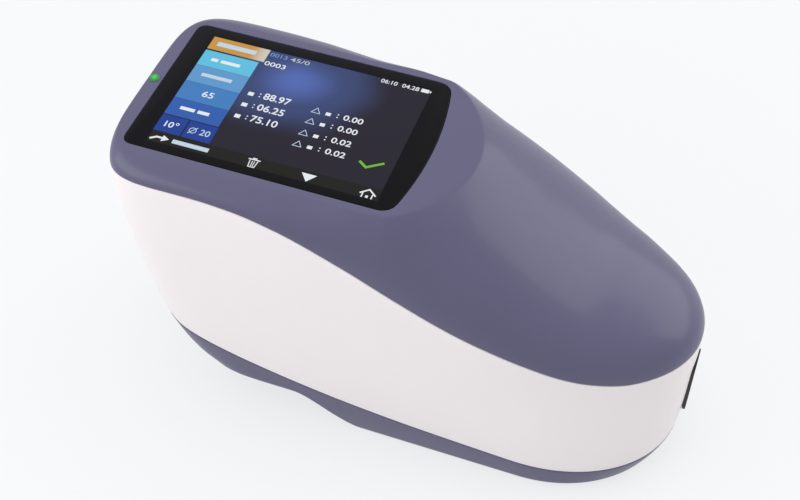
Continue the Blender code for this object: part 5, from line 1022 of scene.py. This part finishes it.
def make_cover_glass():
    """Cover glass with a rounded rim, black from the print behind it, with a window for the picture."""
    rims = [(0, glass_low.z)] + [(GLASS_RIM * (1 - math.cos(angle)), GLASS_FACE - GLASS_RIM * (1 - math.sin(angle)))
                                 for angle in quarter(4)]
    levels = []
    for inset, z in rims:
        half = glass_half(-inset)
        levels.append([(x, y, z) for x, y in half] + [(x, -y, z) for x, y in half[-2:0:-1]])
    glass = layered("cover_glass", levels)
    carve(glass, block((*PICTURE_LOW, WINDOW_FLOOR), (*PICTURE_HIGH, GLASS_FACE + OVERRUN)))
    complete(glass, "cover_glass", "black_glass", "touch_glass")


def make_picture():
    """The lit picture area in the window of the glass."""
    picture = block((*PICTURE_LOW, WINDOW_FLOOR), (*PICTURE_HIGH, PRINT_TOP))
    complete(picture, "screen_picture", "display_dark", material=glow["picture"])


def area(x0, x1, y0, y1):
    """A flat lit area of the picture."""
    return block((*on_screen(x0, y0), PRINT_TOP), (*on_screen(x1, y1), PICTURE_TOP))


def bar(x0, x1, y, height=1.3):
    """A flat lit bar in front of the areas."""
    return block((*on_screen(x0, y), MARK_LOW), (*on_screen(x1, y + height), MARK_TOP))


def colon(x, y):
    """Two lit dots, one above the other."""
    size = 0.42
    return [bar(x - size / 2, x + size / 2, y + rise, size) for rise in (0.25, 1.45)]


def stroke(start, finish, width):
    """A thin bar from one place of the picture to another."""
    (x0, y0), (x1, y1) = on_screen(*start), on_screen(*finish)
    half = width * MM / 2
    reach = math.hypot(x1 - x0, y1 - y0) / 2 + half * 2 / 3
    piece = block((-reach, -half, MARK_LOW), (reach, half, MARK_TOP))
    only(piece)
    bpy.ops.object.transform_apply(location=True, rotation=True, scale=True)
    piece.data.transform(Matrix.Translation(((x0 + x1) / 2, (y0 + y1) / 2, 0))
                         @ Matrix.Rotation(math.atan2(y1 - y0, x1 - x0), 4, "Z"))
    return piece


def line(points, width, closed=False):
    """Strokes from place to place, and back to the first where they close."""
    ends = points[1:] + (points[:1] if closed else [])
    return [stroke(start, finish, width) for start, finish in zip(points, ends)]


def circle(x, y, inner, outer):
    """A flat lit ring."""
    return ring(on_screen(x, y), inner * MM, outer * MM, MARK_LOW, MARK_TOP, 0, 40)


def wedge(points):
    """A flat lit shape with straight sides, its corners given in turn."""
    deselect()
    bpy.ops.mesh.primitive_circle_add(vertices=len(points), radius=0.001, fill_type="NGON")
    piece = bpy.context.object
    for vertex, point in zip(piece.data.vertices, points):
        vertex.co = (*on_screen(*point), MARK_LOW)
    edit(piece)
    bpy.ops.mesh.extrude_region_move(TRANSFORM_OT_translate={"value": (0, 0, MARK_TOP - MARK_LOW)})
    bpy.ops.mesh.select_all(action="SELECT")
    bpy.ops.mesh.normals_make_consistent(inside=False)
    close_edit()
    return piece


def digits(figures, x0, x1, y, height, bold=0.03):
    """Plain digits that fill a width and a height of the picture."""
    deselect()
    bpy.ops.object.text_add(location=(0, 0, 0))
    text = bpy.context.object
    text.data.body = figures
    text.data.size = 0.004
    text.data.offset = bold * MM
    text.data.extrude = (MARK_TOP - MARK_LOW) / 2
    text.data.resolution_u = 4
    bpy.ops.object.convert(target="MESH")
    piece = bpy.context.object
    xs = [vertex.co.x for vertex in piece.data.vertices]
    ys = [vertex.co.y for vertex in piece.data.vertices]
    piece.data.transform(
        Matrix.Translation((*on_screen(x0, y), (MARK_LOW + MARK_TOP) / 2))
        @ Matrix.Diagonal(((x1 - x0) * MM / (max(xs) - min(xs)), height * MM / (max(ys) - min(ys)), 1, 1))
        @ Matrix.Translation((-min(xs), -min(ys), 0)))
    return piece


def gather(pieces, name, material):
    """Joins the lit marks of one colour into one piece of the screen."""
    deselect()
    for piece in pieces:
        piece.select_set(True)
    bpy.context.view_layer.objects.active = pieces[0]
    if len(pieces) > 1:
        bpy.ops.object.join()
    piece = bpy.context.object
    only(piece)
    piece.name = name
    piece.data.name = name
    bpy.ops.object.transform_apply(location=True, rotation=True, scale=True)
    edit(piece)
    bpy.ops.mesh.remove_doubles(threshold=MARK_MERGE)
    close_edit()
    for polygon in piece.data.polygons:
        polygon.use_smooth = False
    dress(piece, "display_dark", material=material)


def make_screen():
    """Areas, bars, figures and marks of the lit picture, at places in millimetres."""
    for name, colour, x1, y0, y1 in (
            ("header_tab", "amber", -60.7, 19.0, 24.8), ("menu_tile_1", "cyan", -62.0, 11.2, 18.3),
            ("menu_tile_2", "sky", -62.0, 3.5, 11.1), ("menu_tile_3", "blue", -62.0, -4.5, 3.4),
            ("menu_tile_4", "deep", -62.0, -12.0, -4.6)):
        gather([area(-80.1, x1, y0, y1)], name, glow[colour])
    gather([area(-80.1, -71.4, -19.4, -12.4), area(-70.9, -61.7, -19.4, -12.4)], "menu_tiles_small", glow["navy"])
    gather([area(-80.1, -6.7, -24.2, -19.7)], "tool_strip", glow["olive"])

    # Readings, their differences and their signs
    white = [digits(text, -54.4, -45.7, y, 2.8, 0.05) for text, y in (("88.97", 3.5), ("06.25", -1.5), ("75.10", -6.7))]
    for y in (-6.5, -1.3, 3.7):
        white += [bar(-59.5, -57.7, y, 1.5), *colon(-55.7, y)]
    for text, y in (("0.00", 3.3), ("0.00", -1.5), ("0.02", -6.7), ("0.02", -11.6)):
        white += [digits(text, -28.1, -21.8, y, 2.3, 0.05), bar(-33.8, -32.2, y + 0.2), *colon(-30.0, y)]
    # Menu, header and clock, with the battery sign
    white += [digits("10", -77.7, -74.9, -17.2, 2.4, 0.05), circle(-73.9, -15.2, 0.32, 0.55),
              digits("65", -72.6, -68.9, -1.7, 2.5), digits("0003", -60.2, -53.2, 17.9, 1.9),
              digits("06:10", -23.1, -17.8, 22.8, 1.7), digits("04.28", -16.2, -10.7, 22.8, 1.7),
              bar(-10.0, -7.5, 22.9, 1.5), bar(-7.3, -6.8, 23.3, 0.7),
              bar(-76.6, -74.3, 14.0), bar(-73.3, -66.9, 14.0), bar(-76.4, -71.6, -8.9), bar(-70.6, -66.8, -8.9)]
    # Tool strip: arrow, bin, pointer and house
    white += line([(-79.2, -23.0), (-77.6, -21.9), (-75.6, -21.9)], 0.7)
    white.append(wedge([(-75.8, -20.7), (-75.8, -23.3), (-73.6, -21.9)]))
    for start, finish, width in (((-48.0, -20.9), (-44.5, -20.9), 0.4), ((-46.8, -20.4), (-45.7, -20.4), 0.4),
                                 ((-46.6, -21.6), (-46.5, -23.5), 0.25), ((-45.9, -21.6), (-46.0, -23.5), 0.25),
                                 ((-11.7, -22.4), (-11.7, -23.9), 0.4), ((-8.7, -22.4), (-8.7, -23.9), 0.4)):
        white.append(stroke(start, finish, width))
    white += line([(-47.5, -21.3), (-47.2, -23.9), (-45.3, -23.9), (-45.0, -21.3)], 0.3)
    white.append(wedge([(-31.3, -20.8), (-28.9, -23.9), (-26.5, -20.8)]))
    white += line([(-12.5, -22.5), (-10.2, -20.6), (-7.9, -22.5)], 0.5)
    white.append(bar(-10.6, -9.8, -23.9, 0.9))
    gather(white, "screen_figures", glow["white"])

    soft = [bar(-77.8, -64.5, 21.0, 1.9), bar(-76.6, -66.4, 6.7, 1.4), bar(-72.4, -60.6, -22.9, 1.6),
            digits("20", -66.2, -63.0, -17.1, 2.4), circle(-68.6, -16.0, 0.95, 1.2)]
    soft += line([(-69.7, -17.4), (-67.5, -14.6)], 0.25)
    for y in (3.3, -1.5, -6.7, -11.6):
        soft += line([(-38.3, y + 0.1), (-35.5, y + 0.1), (-36.9, y + 2.3)], 0.22, True)
    gather(soft, "screen_signs", glow["soft_white"])

    gather([digits("0013", -60.0, -54.3, 22.2, 1.7, 0.02)], "screen_heading", glow["pale"])
    gather([digits("45/0", -53.2, -46.8, 22.2, 1.7, 0.02)], "screen_mode", glow["grey"])
    gather(line([(-16.9, -11.0), (-14.5, -12.7), (-10.1, -9.6)], 0.85), "screen_tick", glow["green"])


# Finishes
def new_group(name, inputs, outputs):
    """An empty shader node group with named sockets."""
    group = bpy.data.node_groups.new(name, "ShaderNodeTree")
    for label, kind, value in inputs:
        socket = group.interface.new_socket(name=label, in_out="INPUT", socket_type="NodeSocket" + kind)
        socket.default_value = value
    for label, kind in outputs:
        group.interface.new_socket(name=label, in_out="OUTPUT", socket_type="NodeSocket" + kind)
    return group, group.nodes.new("NodeGroupInput"), group.nodes.new("NodeGroupOutput")


def add(tree, kind, settings=(), **links):
    """Adds a node, with plain values for some inputs and links for others; i0 is the input numbered 0."""
    node = tree.nodes.new("ShaderNode" + kind)
    for name, value in dict(settings).items():
        setattr(node, name, value)
    for name, value in links.items():
        numbered = name[0] == "i" and name[1:].isdigit()
        socket = node.inputs[int(name[1:]) if numbered else name.replace("_", " ")]
        if isinstance(value, bpy.types.NodeSocket):
            tree.links.new(value, socket)
        else:
            socket.default_value = value
    return node


def math_node(tree, operation, first, second=0.5, third=0.5):
    return add(tree, "Math", {"operation": operation}, i0=first, i1=second, i2=third).outputs[0]


def blend(tree, share, first, second):
    """A colour between two."""
    return add(tree, "Mix", {"data_type": "RGBA"}, i0=share, i6=(*first, 1), i7=(*second, 1)).outputs[2]


def place_on(tree):
    """Places on the object itself."""
    return add(tree, "TexCoord").outputs["Object"]


def distance_on(tree, place, location, scale):
    """Distance from the point that a move and a stretch of the places bring to the middle."""
    spot = add(tree, "Mapping", {"vector_type": "POINT"}, Vector=place, Location=location, Scale=scale)
    return add(tree, "VectorMath", {"operation": "LENGTH"}, i0=spot.outputs[0]).outputs["Value"]


def add_bump(tree, shader, height, strength, depth):
    bump = add(tree, "Bump", Strength=strength, Distance=depth, Height=height)
    tree.links.new(bump.outputs["Normal"], shader.inputs["Normal"])


def mixed_shader(tree, share, first, second):
    return add(tree, "MixShader", i0=share, i1=first.outputs[0], i2=second.outputs[0])


def set_values(shader, **values):
    """Sets plain values on a shader's own sockets."""
    for label, value in values.items():
        shader.inputs[label.replace("_", " ")].default_value = value


def moulded_surface():
    """Fine moulded texture: height of the grain, and slow changes of shade and gloss."""
    group, source, out = new_group(
        "moulded_surface",
        [("Color", "Color", (0.5, 0.5, 0.5, 1)), ("Grain Scale", "Float", 3600), ("Roughness", "Float", 0.4),
         ("Shade Change", "Float", 0.03), ("Gloss Change", "Float", 0.05)],
        [("Color", "Color"), ("Roughness", "Float"), ("Height", "Float")])
    value = source.outputs
    place = place_on(group)
    fine = add(group, "TexNoise", Vector=place, Scale=value["Grain Scale"], Detail=2.0, Roughness=0.6)
    slow = add(group, "TexNoise", Vector=place, Scale=38.0, Detail=4.0, Roughness=0.55)
    middle = add(group, "TexNoise", Vector=place, Scale=260.0, Detail=3.0, Roughness=0.6)
    centred = math_node(group, "SUBTRACT", slow.outputs["Fac"], 0.5)
    speck = math_node(group, "SUBTRACT", middle.outputs["Fac"], 0.5)
    both = math_node(group, "ADD", centred, math_node(group, "MULTIPLY", speck, 0.35))
    bright = math_node(group, "MULTIPLY_ADD", both, math_node(group, "MULTIPLY", value["Shade Change"], 4.0), 1.0)
    colour = add(group, "VectorMath", {"operation": "SCALE"}, i0=value["Color"], Scale=bright)
    rough = math_node(group, "MULTIPLY_ADD", speck, math_node(group, "MULTIPLY", value["Gloss Change"], 3.0),
                      value["Roughness"])
    for label, result in (("Color", colour.outputs[0]),
                          ("Roughness", math_node(group, "MULTIPLY_ADD", centred, value["Gloss Change"], rough)),
                          ("Height", math_node(group, "MULTIPLY_ADD", speck, 0.6, fine.outputs["Fac"]))):
        group.links.new(result, out.inputs[label])
    return group


def new_material(name):
    """A material with a plain shader."""
    material = bpy.data.materials.new(name)
    material.use_nodes = True
    tree = material.node_tree
    tree.nodes.clear()
    shader = tree.nodes.new("ShaderNodeBsdfPrincipled")
    result = tree.nodes.new("ShaderNodeOutputMaterial")
    tree.links.new(shader.outputs[0], result.inputs["Surface"])
    return material, tree, shader


def add_surface(tree, shader, **values):
    """The shared surface group, linked to a shader's colour and roughness."""
    surface = add(tree, "Group", {"node_tree": surface_group}, **values)
    tree.links.new(surface.outputs["Color"], shader.inputs["Base Color"])
    tree.links.new(surface.outputs["Roughness"], shader.inputs["Roughness"])
    return surface


def moulded(name, colour, roughness, depth, grain, shade, gloss, **plain):
    """A moulded, cast or ground finish: its grain's depth and fineness, its changes of shade and of gloss."""
    material, tree, shader = new_material(name)
    surface = add_surface(tree, shader, Color=(*colour, 1), Grain_Scale=grain, Roughness=roughness,
                          Shade_Change=shade, Gloss_Change=gloss)
    add_bump(tree, shader, surface.outputs["Height"], 0.25, depth)
    set_values(shader, **plain)
    return material


GLASS_GLOSS_IOR = 1.2


def lit(name, colour, shade=None):
    """A lit area of the screen under the gloss of the glass: dark itself, with a faint pixel grid in its light."""
    material, tree, shader = new_material(name)
    place = place_on(tree)
    grid = add(tree, "TexWave", {"wave_type": "BANDS", "bands_direction": "X"}, Vector=place, Scale=1200.0)
    soft = add(tree, "MapRange", {}, Value=grid.outputs["Fac"], To_Min=0.97, To_Max=1.0)
    light = add(tree, "VectorMath", {"operation": "SCALE"}, i0=shade(tree, place) if shade else colour,
                Scale=soft.outputs[0])
    tree.links.new(light.outputs[0], shader.inputs["Emission Color"])
    set_values(shader, Emission_Strength=1.0, Base_Color=(0.004, 0.004, 0.005, 1), Roughness=0.5,
               Specular_IOR_Level=0.0, Coat_Weight=1.0, Coat_IOR=GLASS_GLOSS_IOR, Coat_Roughness=0.0)
    return material


def header_shade(tree, place):
    """Amber of the header tab, which fades to pale grey at its right end."""
    fade = add(tree, "MapRange", {"interpolation_type": "SMOOTHSTEP"},
               Value=add(tree, "SeparateXYZ", Vector=place).outputs["X"], From_Min=-0.0660, From_Max=-0.0605)
    return blend(tree, fade.outputs[0], (0.58, 0.30, 0.055), (0.62, 0.58, 0.50))


def picture_shade(tree, place):
    """Dark blue of the picture, with the brighter cloud of light left of its middle."""
    distance = distance_on(tree, place, (1.34, -0.46, 0.0), (28.0, 33.0, 0.0))
    cloud = add(tree, "TexNoise", Vector=place, Scale=45.0, Detail=2.0, Roughness=0.4).outputs["Fac"]
    spread = math_node(tree, "MULTIPLY_ADD", cloud, 0.25, distance)
    ramp = tree.nodes.new("ShaderNodeValToRGB")
    tree.links.new(spread, ramp.inputs[0])
    ramp.color_ramp.interpolation = "EASE"
    ramp.color_ramp.elements[0].position = 0.12
    ramp.color_ramp.elements[0].color = (0.085, 0.140, 0.440, 1)
    ramp.color_ramp.elements[1].position = 1.0
    ramp.color_ramp.elements[1].color = (0.016, 0.013, 0.024, 1)
    between = ramp.color_ramp.elements.new(0.55)
    between.color = (0.042, 0.062, 0.170, 1)
    return ramp.outputs[0]


def clear(name, colour):
    """Clear polished glass with plain transmission and faint wiped smears in its tint."""
    material, tree, shader = new_material(name)
    smears = add(tree, "TexNoise", Vector=place_on(tree), Scale=90.0, Detail=4.0, Roughness=0.6)
    tint = blend(tree, smears.outputs["Fac"], [part * 0.97 for part in colour], colour)
    tree.links.new(tint, shader.inputs["Base Color"])
    set_values(shader, Roughness=0.0, Transmission_Weight=1.0, IOR=1.5)
    return material


def light_pipe(name):
    """Green moulded pipe, brightest in the middle of its dome."""
    material, tree, shader = new_material(name)
    distance = distance_on(tree, place_on(tree), (-middle_of("status_led").x, 0.0, 0.0), (1.0, 1.0, 0.0))
    ramp = add(tree, "MapRange", {"interpolation_type": "SMOOTHSTEP"}, Value=distance, From_Min=0.0,
               From_Max=PIPE_HEAD_RADIUS, To_Min=1.0, To_Max=0.0)
    tree.links.new(blend(tree, ramp.outputs[0], (0.006, 0.09, 0.02), (0.05, 0.50, 0.06)),
                   shader.inputs["Emission Color"])
    set_values(shader, Emission_Strength=1.0, Base_Color=(0.012, 0.10, 0.025, 1), Roughness=0.12)
    return material


def board_finish(name):
    """Green solder mask with copper tracks that show through it."""
    material, tree, shader = new_material(name)
    cells = add(tree, "TexVoronoi", {"feature": "DISTANCE_TO_EDGE", "distance": "MANHATTAN"},
                Vector=place_on(tree), Scale=190.0)
    tracks = add(tree, "MapRange", {}, Value=cells.outputs["Distance"], From_Min=0.05, From_Max=0.09, To_Min=1.0,
                 To_Max=0.0)
    tone = blend(tree, tracks.outputs[0], (0.010, 0.085, 0.035), (0.030, 0.165, 0.060))
    add_surface(tree, shader, Color=tone, Grain_Scale=2000.0, Roughness=0.32)
    add_bump(tree, shader, tracks.outputs[0], 0.5, 0.00003)
    return material


def ribbon_finish(name):
    """Amber film with fine copper lines along it."""
    material, tree, shader = new_material(name)
    lines = add(tree, "TexWave", {"wave_type": "BANDS", "bands_direction": "Y"}, Vector=place_on(tree), Scale=320.0)
    tone = blend(tree, lines.outputs["Fac"], (0.42, 0.17, 0.03), (0.62, 0.30, 0.07))
    add_surface(tree, shader, Color=tone, Roughness=0.28)
    return material


surface_group = moulded_surface()

finishes = {
    "shell_grey": moulded("grey_shell_finish", (0.088, 0.083, 0.157), 0.42, 0.00002, 3600.0, 0.02, 0.05,
                          Specular_IOR_Level=0.35, Coat_Weight=0.25, Coat_Roughness=0.16),
    "band_white": moulded("white_band_finish", (0.87, 0.82, 0.835), 0.42, 0.00002, 3600.0, 0.01, 0.04),
    "black_plastic": moulded("black_plastic_finish", (0.011, 0.011, 0.012), 0.42, 0.00003, 3000.0, 0.05, 0.06,
                             Specular_IOR_Level=0.35),
    "inner_plastic": moulded("inner_plastic_finish", (0.11, 0.11, 0.115), 0.5, 0.00003, 2600.0, 0.04, 0.06),
    "soft_black": moulded("rubber_finish", (0.020, 0.020, 0.021), 0.72, 0.00005, 2400.0, 0.05, 0.06),
    "cast_alloy": moulded("cast_alloy_finish", (0.50, 0.50, 0.51), 0.42, 0.00006, 1500.0, 0.05, 0.10,
                          Metallic=1.0),
    "screw_steel": moulded("steel_finish", (0.56, 0.55, 0.53), 0.26, 0.00001, 4200.0, 0.04, 0.08, Metallic=1.0),
    "mirror_coat": moulded("mirror_finish", (0.86, 0.87, 0.88), 0.05, 0.000002, 900.0, 0.01, 0.02, Metallic=1.0),
    "battery_wrap": moulded("battery_wrap_finish", (0.03, 0.09, 0.24), 0.34, 0.00003, 1200.0, 0.05, 0.08),
    "board_green": board_finish("board_finish"),
    "ribbon_amber": ribbon_finish("ribbon_finish"),
    "clear_glass": clear("optical_glass", (0.97, 0.99, 0.98)),
    "black_glass": moulded("cover_glass_finish", (0.0028, 0.0027, 0.0040), 0.6, 0.000002, 2600.0, 0.05, 0.05,
                           Specular_IOR_Level=0.0, Coat_Weight=1.0, Coat_IOR=GLASS_GLOSS_IOR, Coat_Roughness=0.0),
    "light_green": light_pipe("light_pipe_finish"),
    "display_dark": moulded("display_back_finish", (0.03, 0.03, 0.035), 0.4, 0.00002, 2400.0, 0.04, 0.05),
}
glow = {
    "picture": lit("picture_light", None, picture_shade),
    "amber": lit("amber_light", None, header_shade),
    "cyan": lit("cyan_light", (0.115, 0.520, 0.740)),
    "sky": lit("sky_light", (0.115, 0.315, 0.600)),
    "blue": lit("blue_light", (0.055, 0.205, 0.515)),
    "deep": lit("deep_blue_light", (0.028, 0.110, 0.420)),
    "navy": lit("navy_light", (0.010, 0.050, 0.300)),
    "olive": lit("olive_light", (0.0090, 0.0085, 0.0050)),
    "white": lit("white_light", (0.80, 0.84, 0.88)),
    "soft_white": lit("soft_white_light", (0.55, 0.66, 0.78)),
    "grey": lit("grey_light", (0.50, 0.52, 0.56)),
    "pale": lit("pale_light", (0.16, 0.30, 0.62)),
    "green": lit("green_light", (0.17, 0.46, 0.04)),
}

slots = {
    "shell_grey": ["top_shell", "base_shell", "battery_door", "measure_key"],
    "band_white": ["middle_band"], "black_glass": ["touch_glass"], "display_dark": ["display_panel"],
    "light_green": ["status_led"], "inner_plastic": ["display_bracket"],
    "board_green": ["main_board", "led_ring_board", "sensor_board", "port_board", "key_board"],
    "black_plastic": ["buzzer", "optics_block", "lens_tube", "entrance_slit", "aperture_ring", "battery_contacts",
                      "port_panel", "power_switch"],
    "ribbon_amber": ["display_flex", "port_flex"],
    "cast_alloy": ["chassis", "spectrometer_tray", "spectrometer_lid"],
    "clear_glass": ["port_glass", "collection_lens"],
    "mirror_coat": ["fold_mirror", "diffraction_grating"],
    "soft_black": ["port_seal", *feet],
    "battery_wrap": ["battery_pack"],
}
slots["screw_steel"] = [name for name in nodes if name not in sum(slots.values(), [])]
for slot_name, names in slots.items():
    for name in names:
        nodes[name].data.materials.clear()
        nodes[name].data.materials.append(finishes[slot_name])

make_picture()
make_screen()
make_top_cover()
make_side_band()
make_lower_housing()
make_side_key()
make_nose_panel()
make_slider()
make_socket()
make_socket_tongue()
make_door()
make_aperture()
make_seal()
for foot_name in feet:
    make_foot(foot_name)
make_status_dome()
make_cover_glass()


# Floor, light and camera
BACKGROUND = (0.930, 0.939, 0.956, 1)
WORLD_LIGHT = 0.62
FLOOR_SIZE = 30
FLOOR_SHOWN = 0.68
FLOOR_GLOW = 1.118
BODY_MIDDLE = (0, 0, 0.05)


def seen_mask(tree):
    """One where the camera, a mirror image or clear glass looks at a surface."""
    path = add(tree, "LightPath")
    seen = math_node(tree, "MAXIMUM", path.outputs["Is Camera Ray"], path.outputs["Is Glossy Ray"])
    return math_node(tree, "MAXIMUM", seen, path.outputs["Is Transmission Ray"])


def make_floor():
    """Pale floor that shows the background's colour, keeps a faint shadow and lets a view from below through."""
    deselect()
    bpy.ops.mesh.primitive_plane_add(size=FLOOR_SIZE, location=(0, 0, 0))
    floor = bpy.context.object
    floor.name = "floor"
    material, tree, shader = new_material("floor_finish")
    slow = add(tree, "TexNoise", Vector=place_on(tree), Scale=3.0, Detail=2.0)
    tree.links.new(blend(tree, slow.outputs["Fac"], (0.595, 0.600, 0.605), (0.605, 0.610, 0.615)),
                   shader.inputs["Base Color"])
    set_values(shader, Roughness=0.9, Specular_IOR_Level=0.0)
    shown = add(tree, "Emission", Color=BACKGROUND, Strength=FLOOR_GLOW)
    seen = mixed_shader(tree, math_node(tree, "MULTIPLY", seen_mask(tree), FLOOR_SHOWN), shader, shown)
    looked_at = add(tree, "LightPath").outputs["Is Camera Ray"]
    from_behind = math_node(tree, "MULTIPLY", looked_at, add(tree, "NewGeometry").outputs["Backfacing"])
    through = mixed_shader(tree, from_behind, seen, add(tree, "BsdfTransparent"))
    result = next(node for node in tree.nodes if node.type == "OUTPUT_MATERIAL")
    tree.links.new(through.outputs[0], result.inputs["Surface"])
    floor.data.materials.append(material)


def make_world():
    world = bpy.data.worlds.new("studio")
    bpy.context.scene.world = world
    world.use_nodes = True
    tree = world.node_tree
    tree.nodes.clear()
    light = add(tree, "Background", Color=(1.0, 1.0, 1.0, 1), Strength=WORLD_LIGHT)
    shown = add(tree, "Background", Color=BACKGROUND)
    result = tree.nodes.new("ShaderNodeOutputWorld")
    tree.links.new(mixed_shader(tree, seen_mask(tree), light, shown).outputs[0], result.inputs["Surface"])


def add_light(name, kind, place, target, energy, **settings):
    data = bpy.data.lights.new(name, kind)
    data.energy = energy
    for label, value in settings.items():
        setattr(data, label, value)
    lamp = bpy.data.objects.new(name, data)
    lamp.location = place
    lamp.rotation_euler = (Vector(target) - Vector(place)).to_track_quat("-Z", "Y").to_euler()
    lamp.visible_glossy = kind != "SUN"
    bpy.context.scene.collection.objects.link(lamp)


make_floor()
make_world()
# The two wide lights leave no highlight of their own; the two soft boxes do
add_light("high_soft_light", "SUN", (-0.3, 0.3, 1.6), BODY_MIDDLE, 1.0, angle=math.radians(80))
add_light("front_fill", "SUN", (0.1, -1.2, 0.5), BODY_MIDDLE, 0.42, angle=math.radians(90))
add_light("left_soft_box", "AREA", (-0.45, -0.33, 0.30), (-0.05, 0, 0.07), 1.25, shape="RECTANGLE", size=0.5,
          size_y=0.4)
add_light("right_soft_box", "AREA", (0.76, 0.52, 0.58), (0.03, 0, 0.07), 3.8, shape="RECTANGLE", size=1.1,
          size_y=0.6)

camera_data = bpy.data.cameras.new("camera")
camera_data.lens = 63.5917
camera_data.sensor_width = 36
camera_data.clip_start = 0.01
camera = bpy.data.objects.new("camera", camera_data)
camera.location = (0.093072, -0.278084, 0.404878)
camera.rotation_euler = (0.7024196, 0.0019787, 0.346694)
bpy.context.scene.collection.objects.link(camera)
bpy.context.scene.camera = camera
bpy.context.scene.view_settings.view_transform = "Standard"
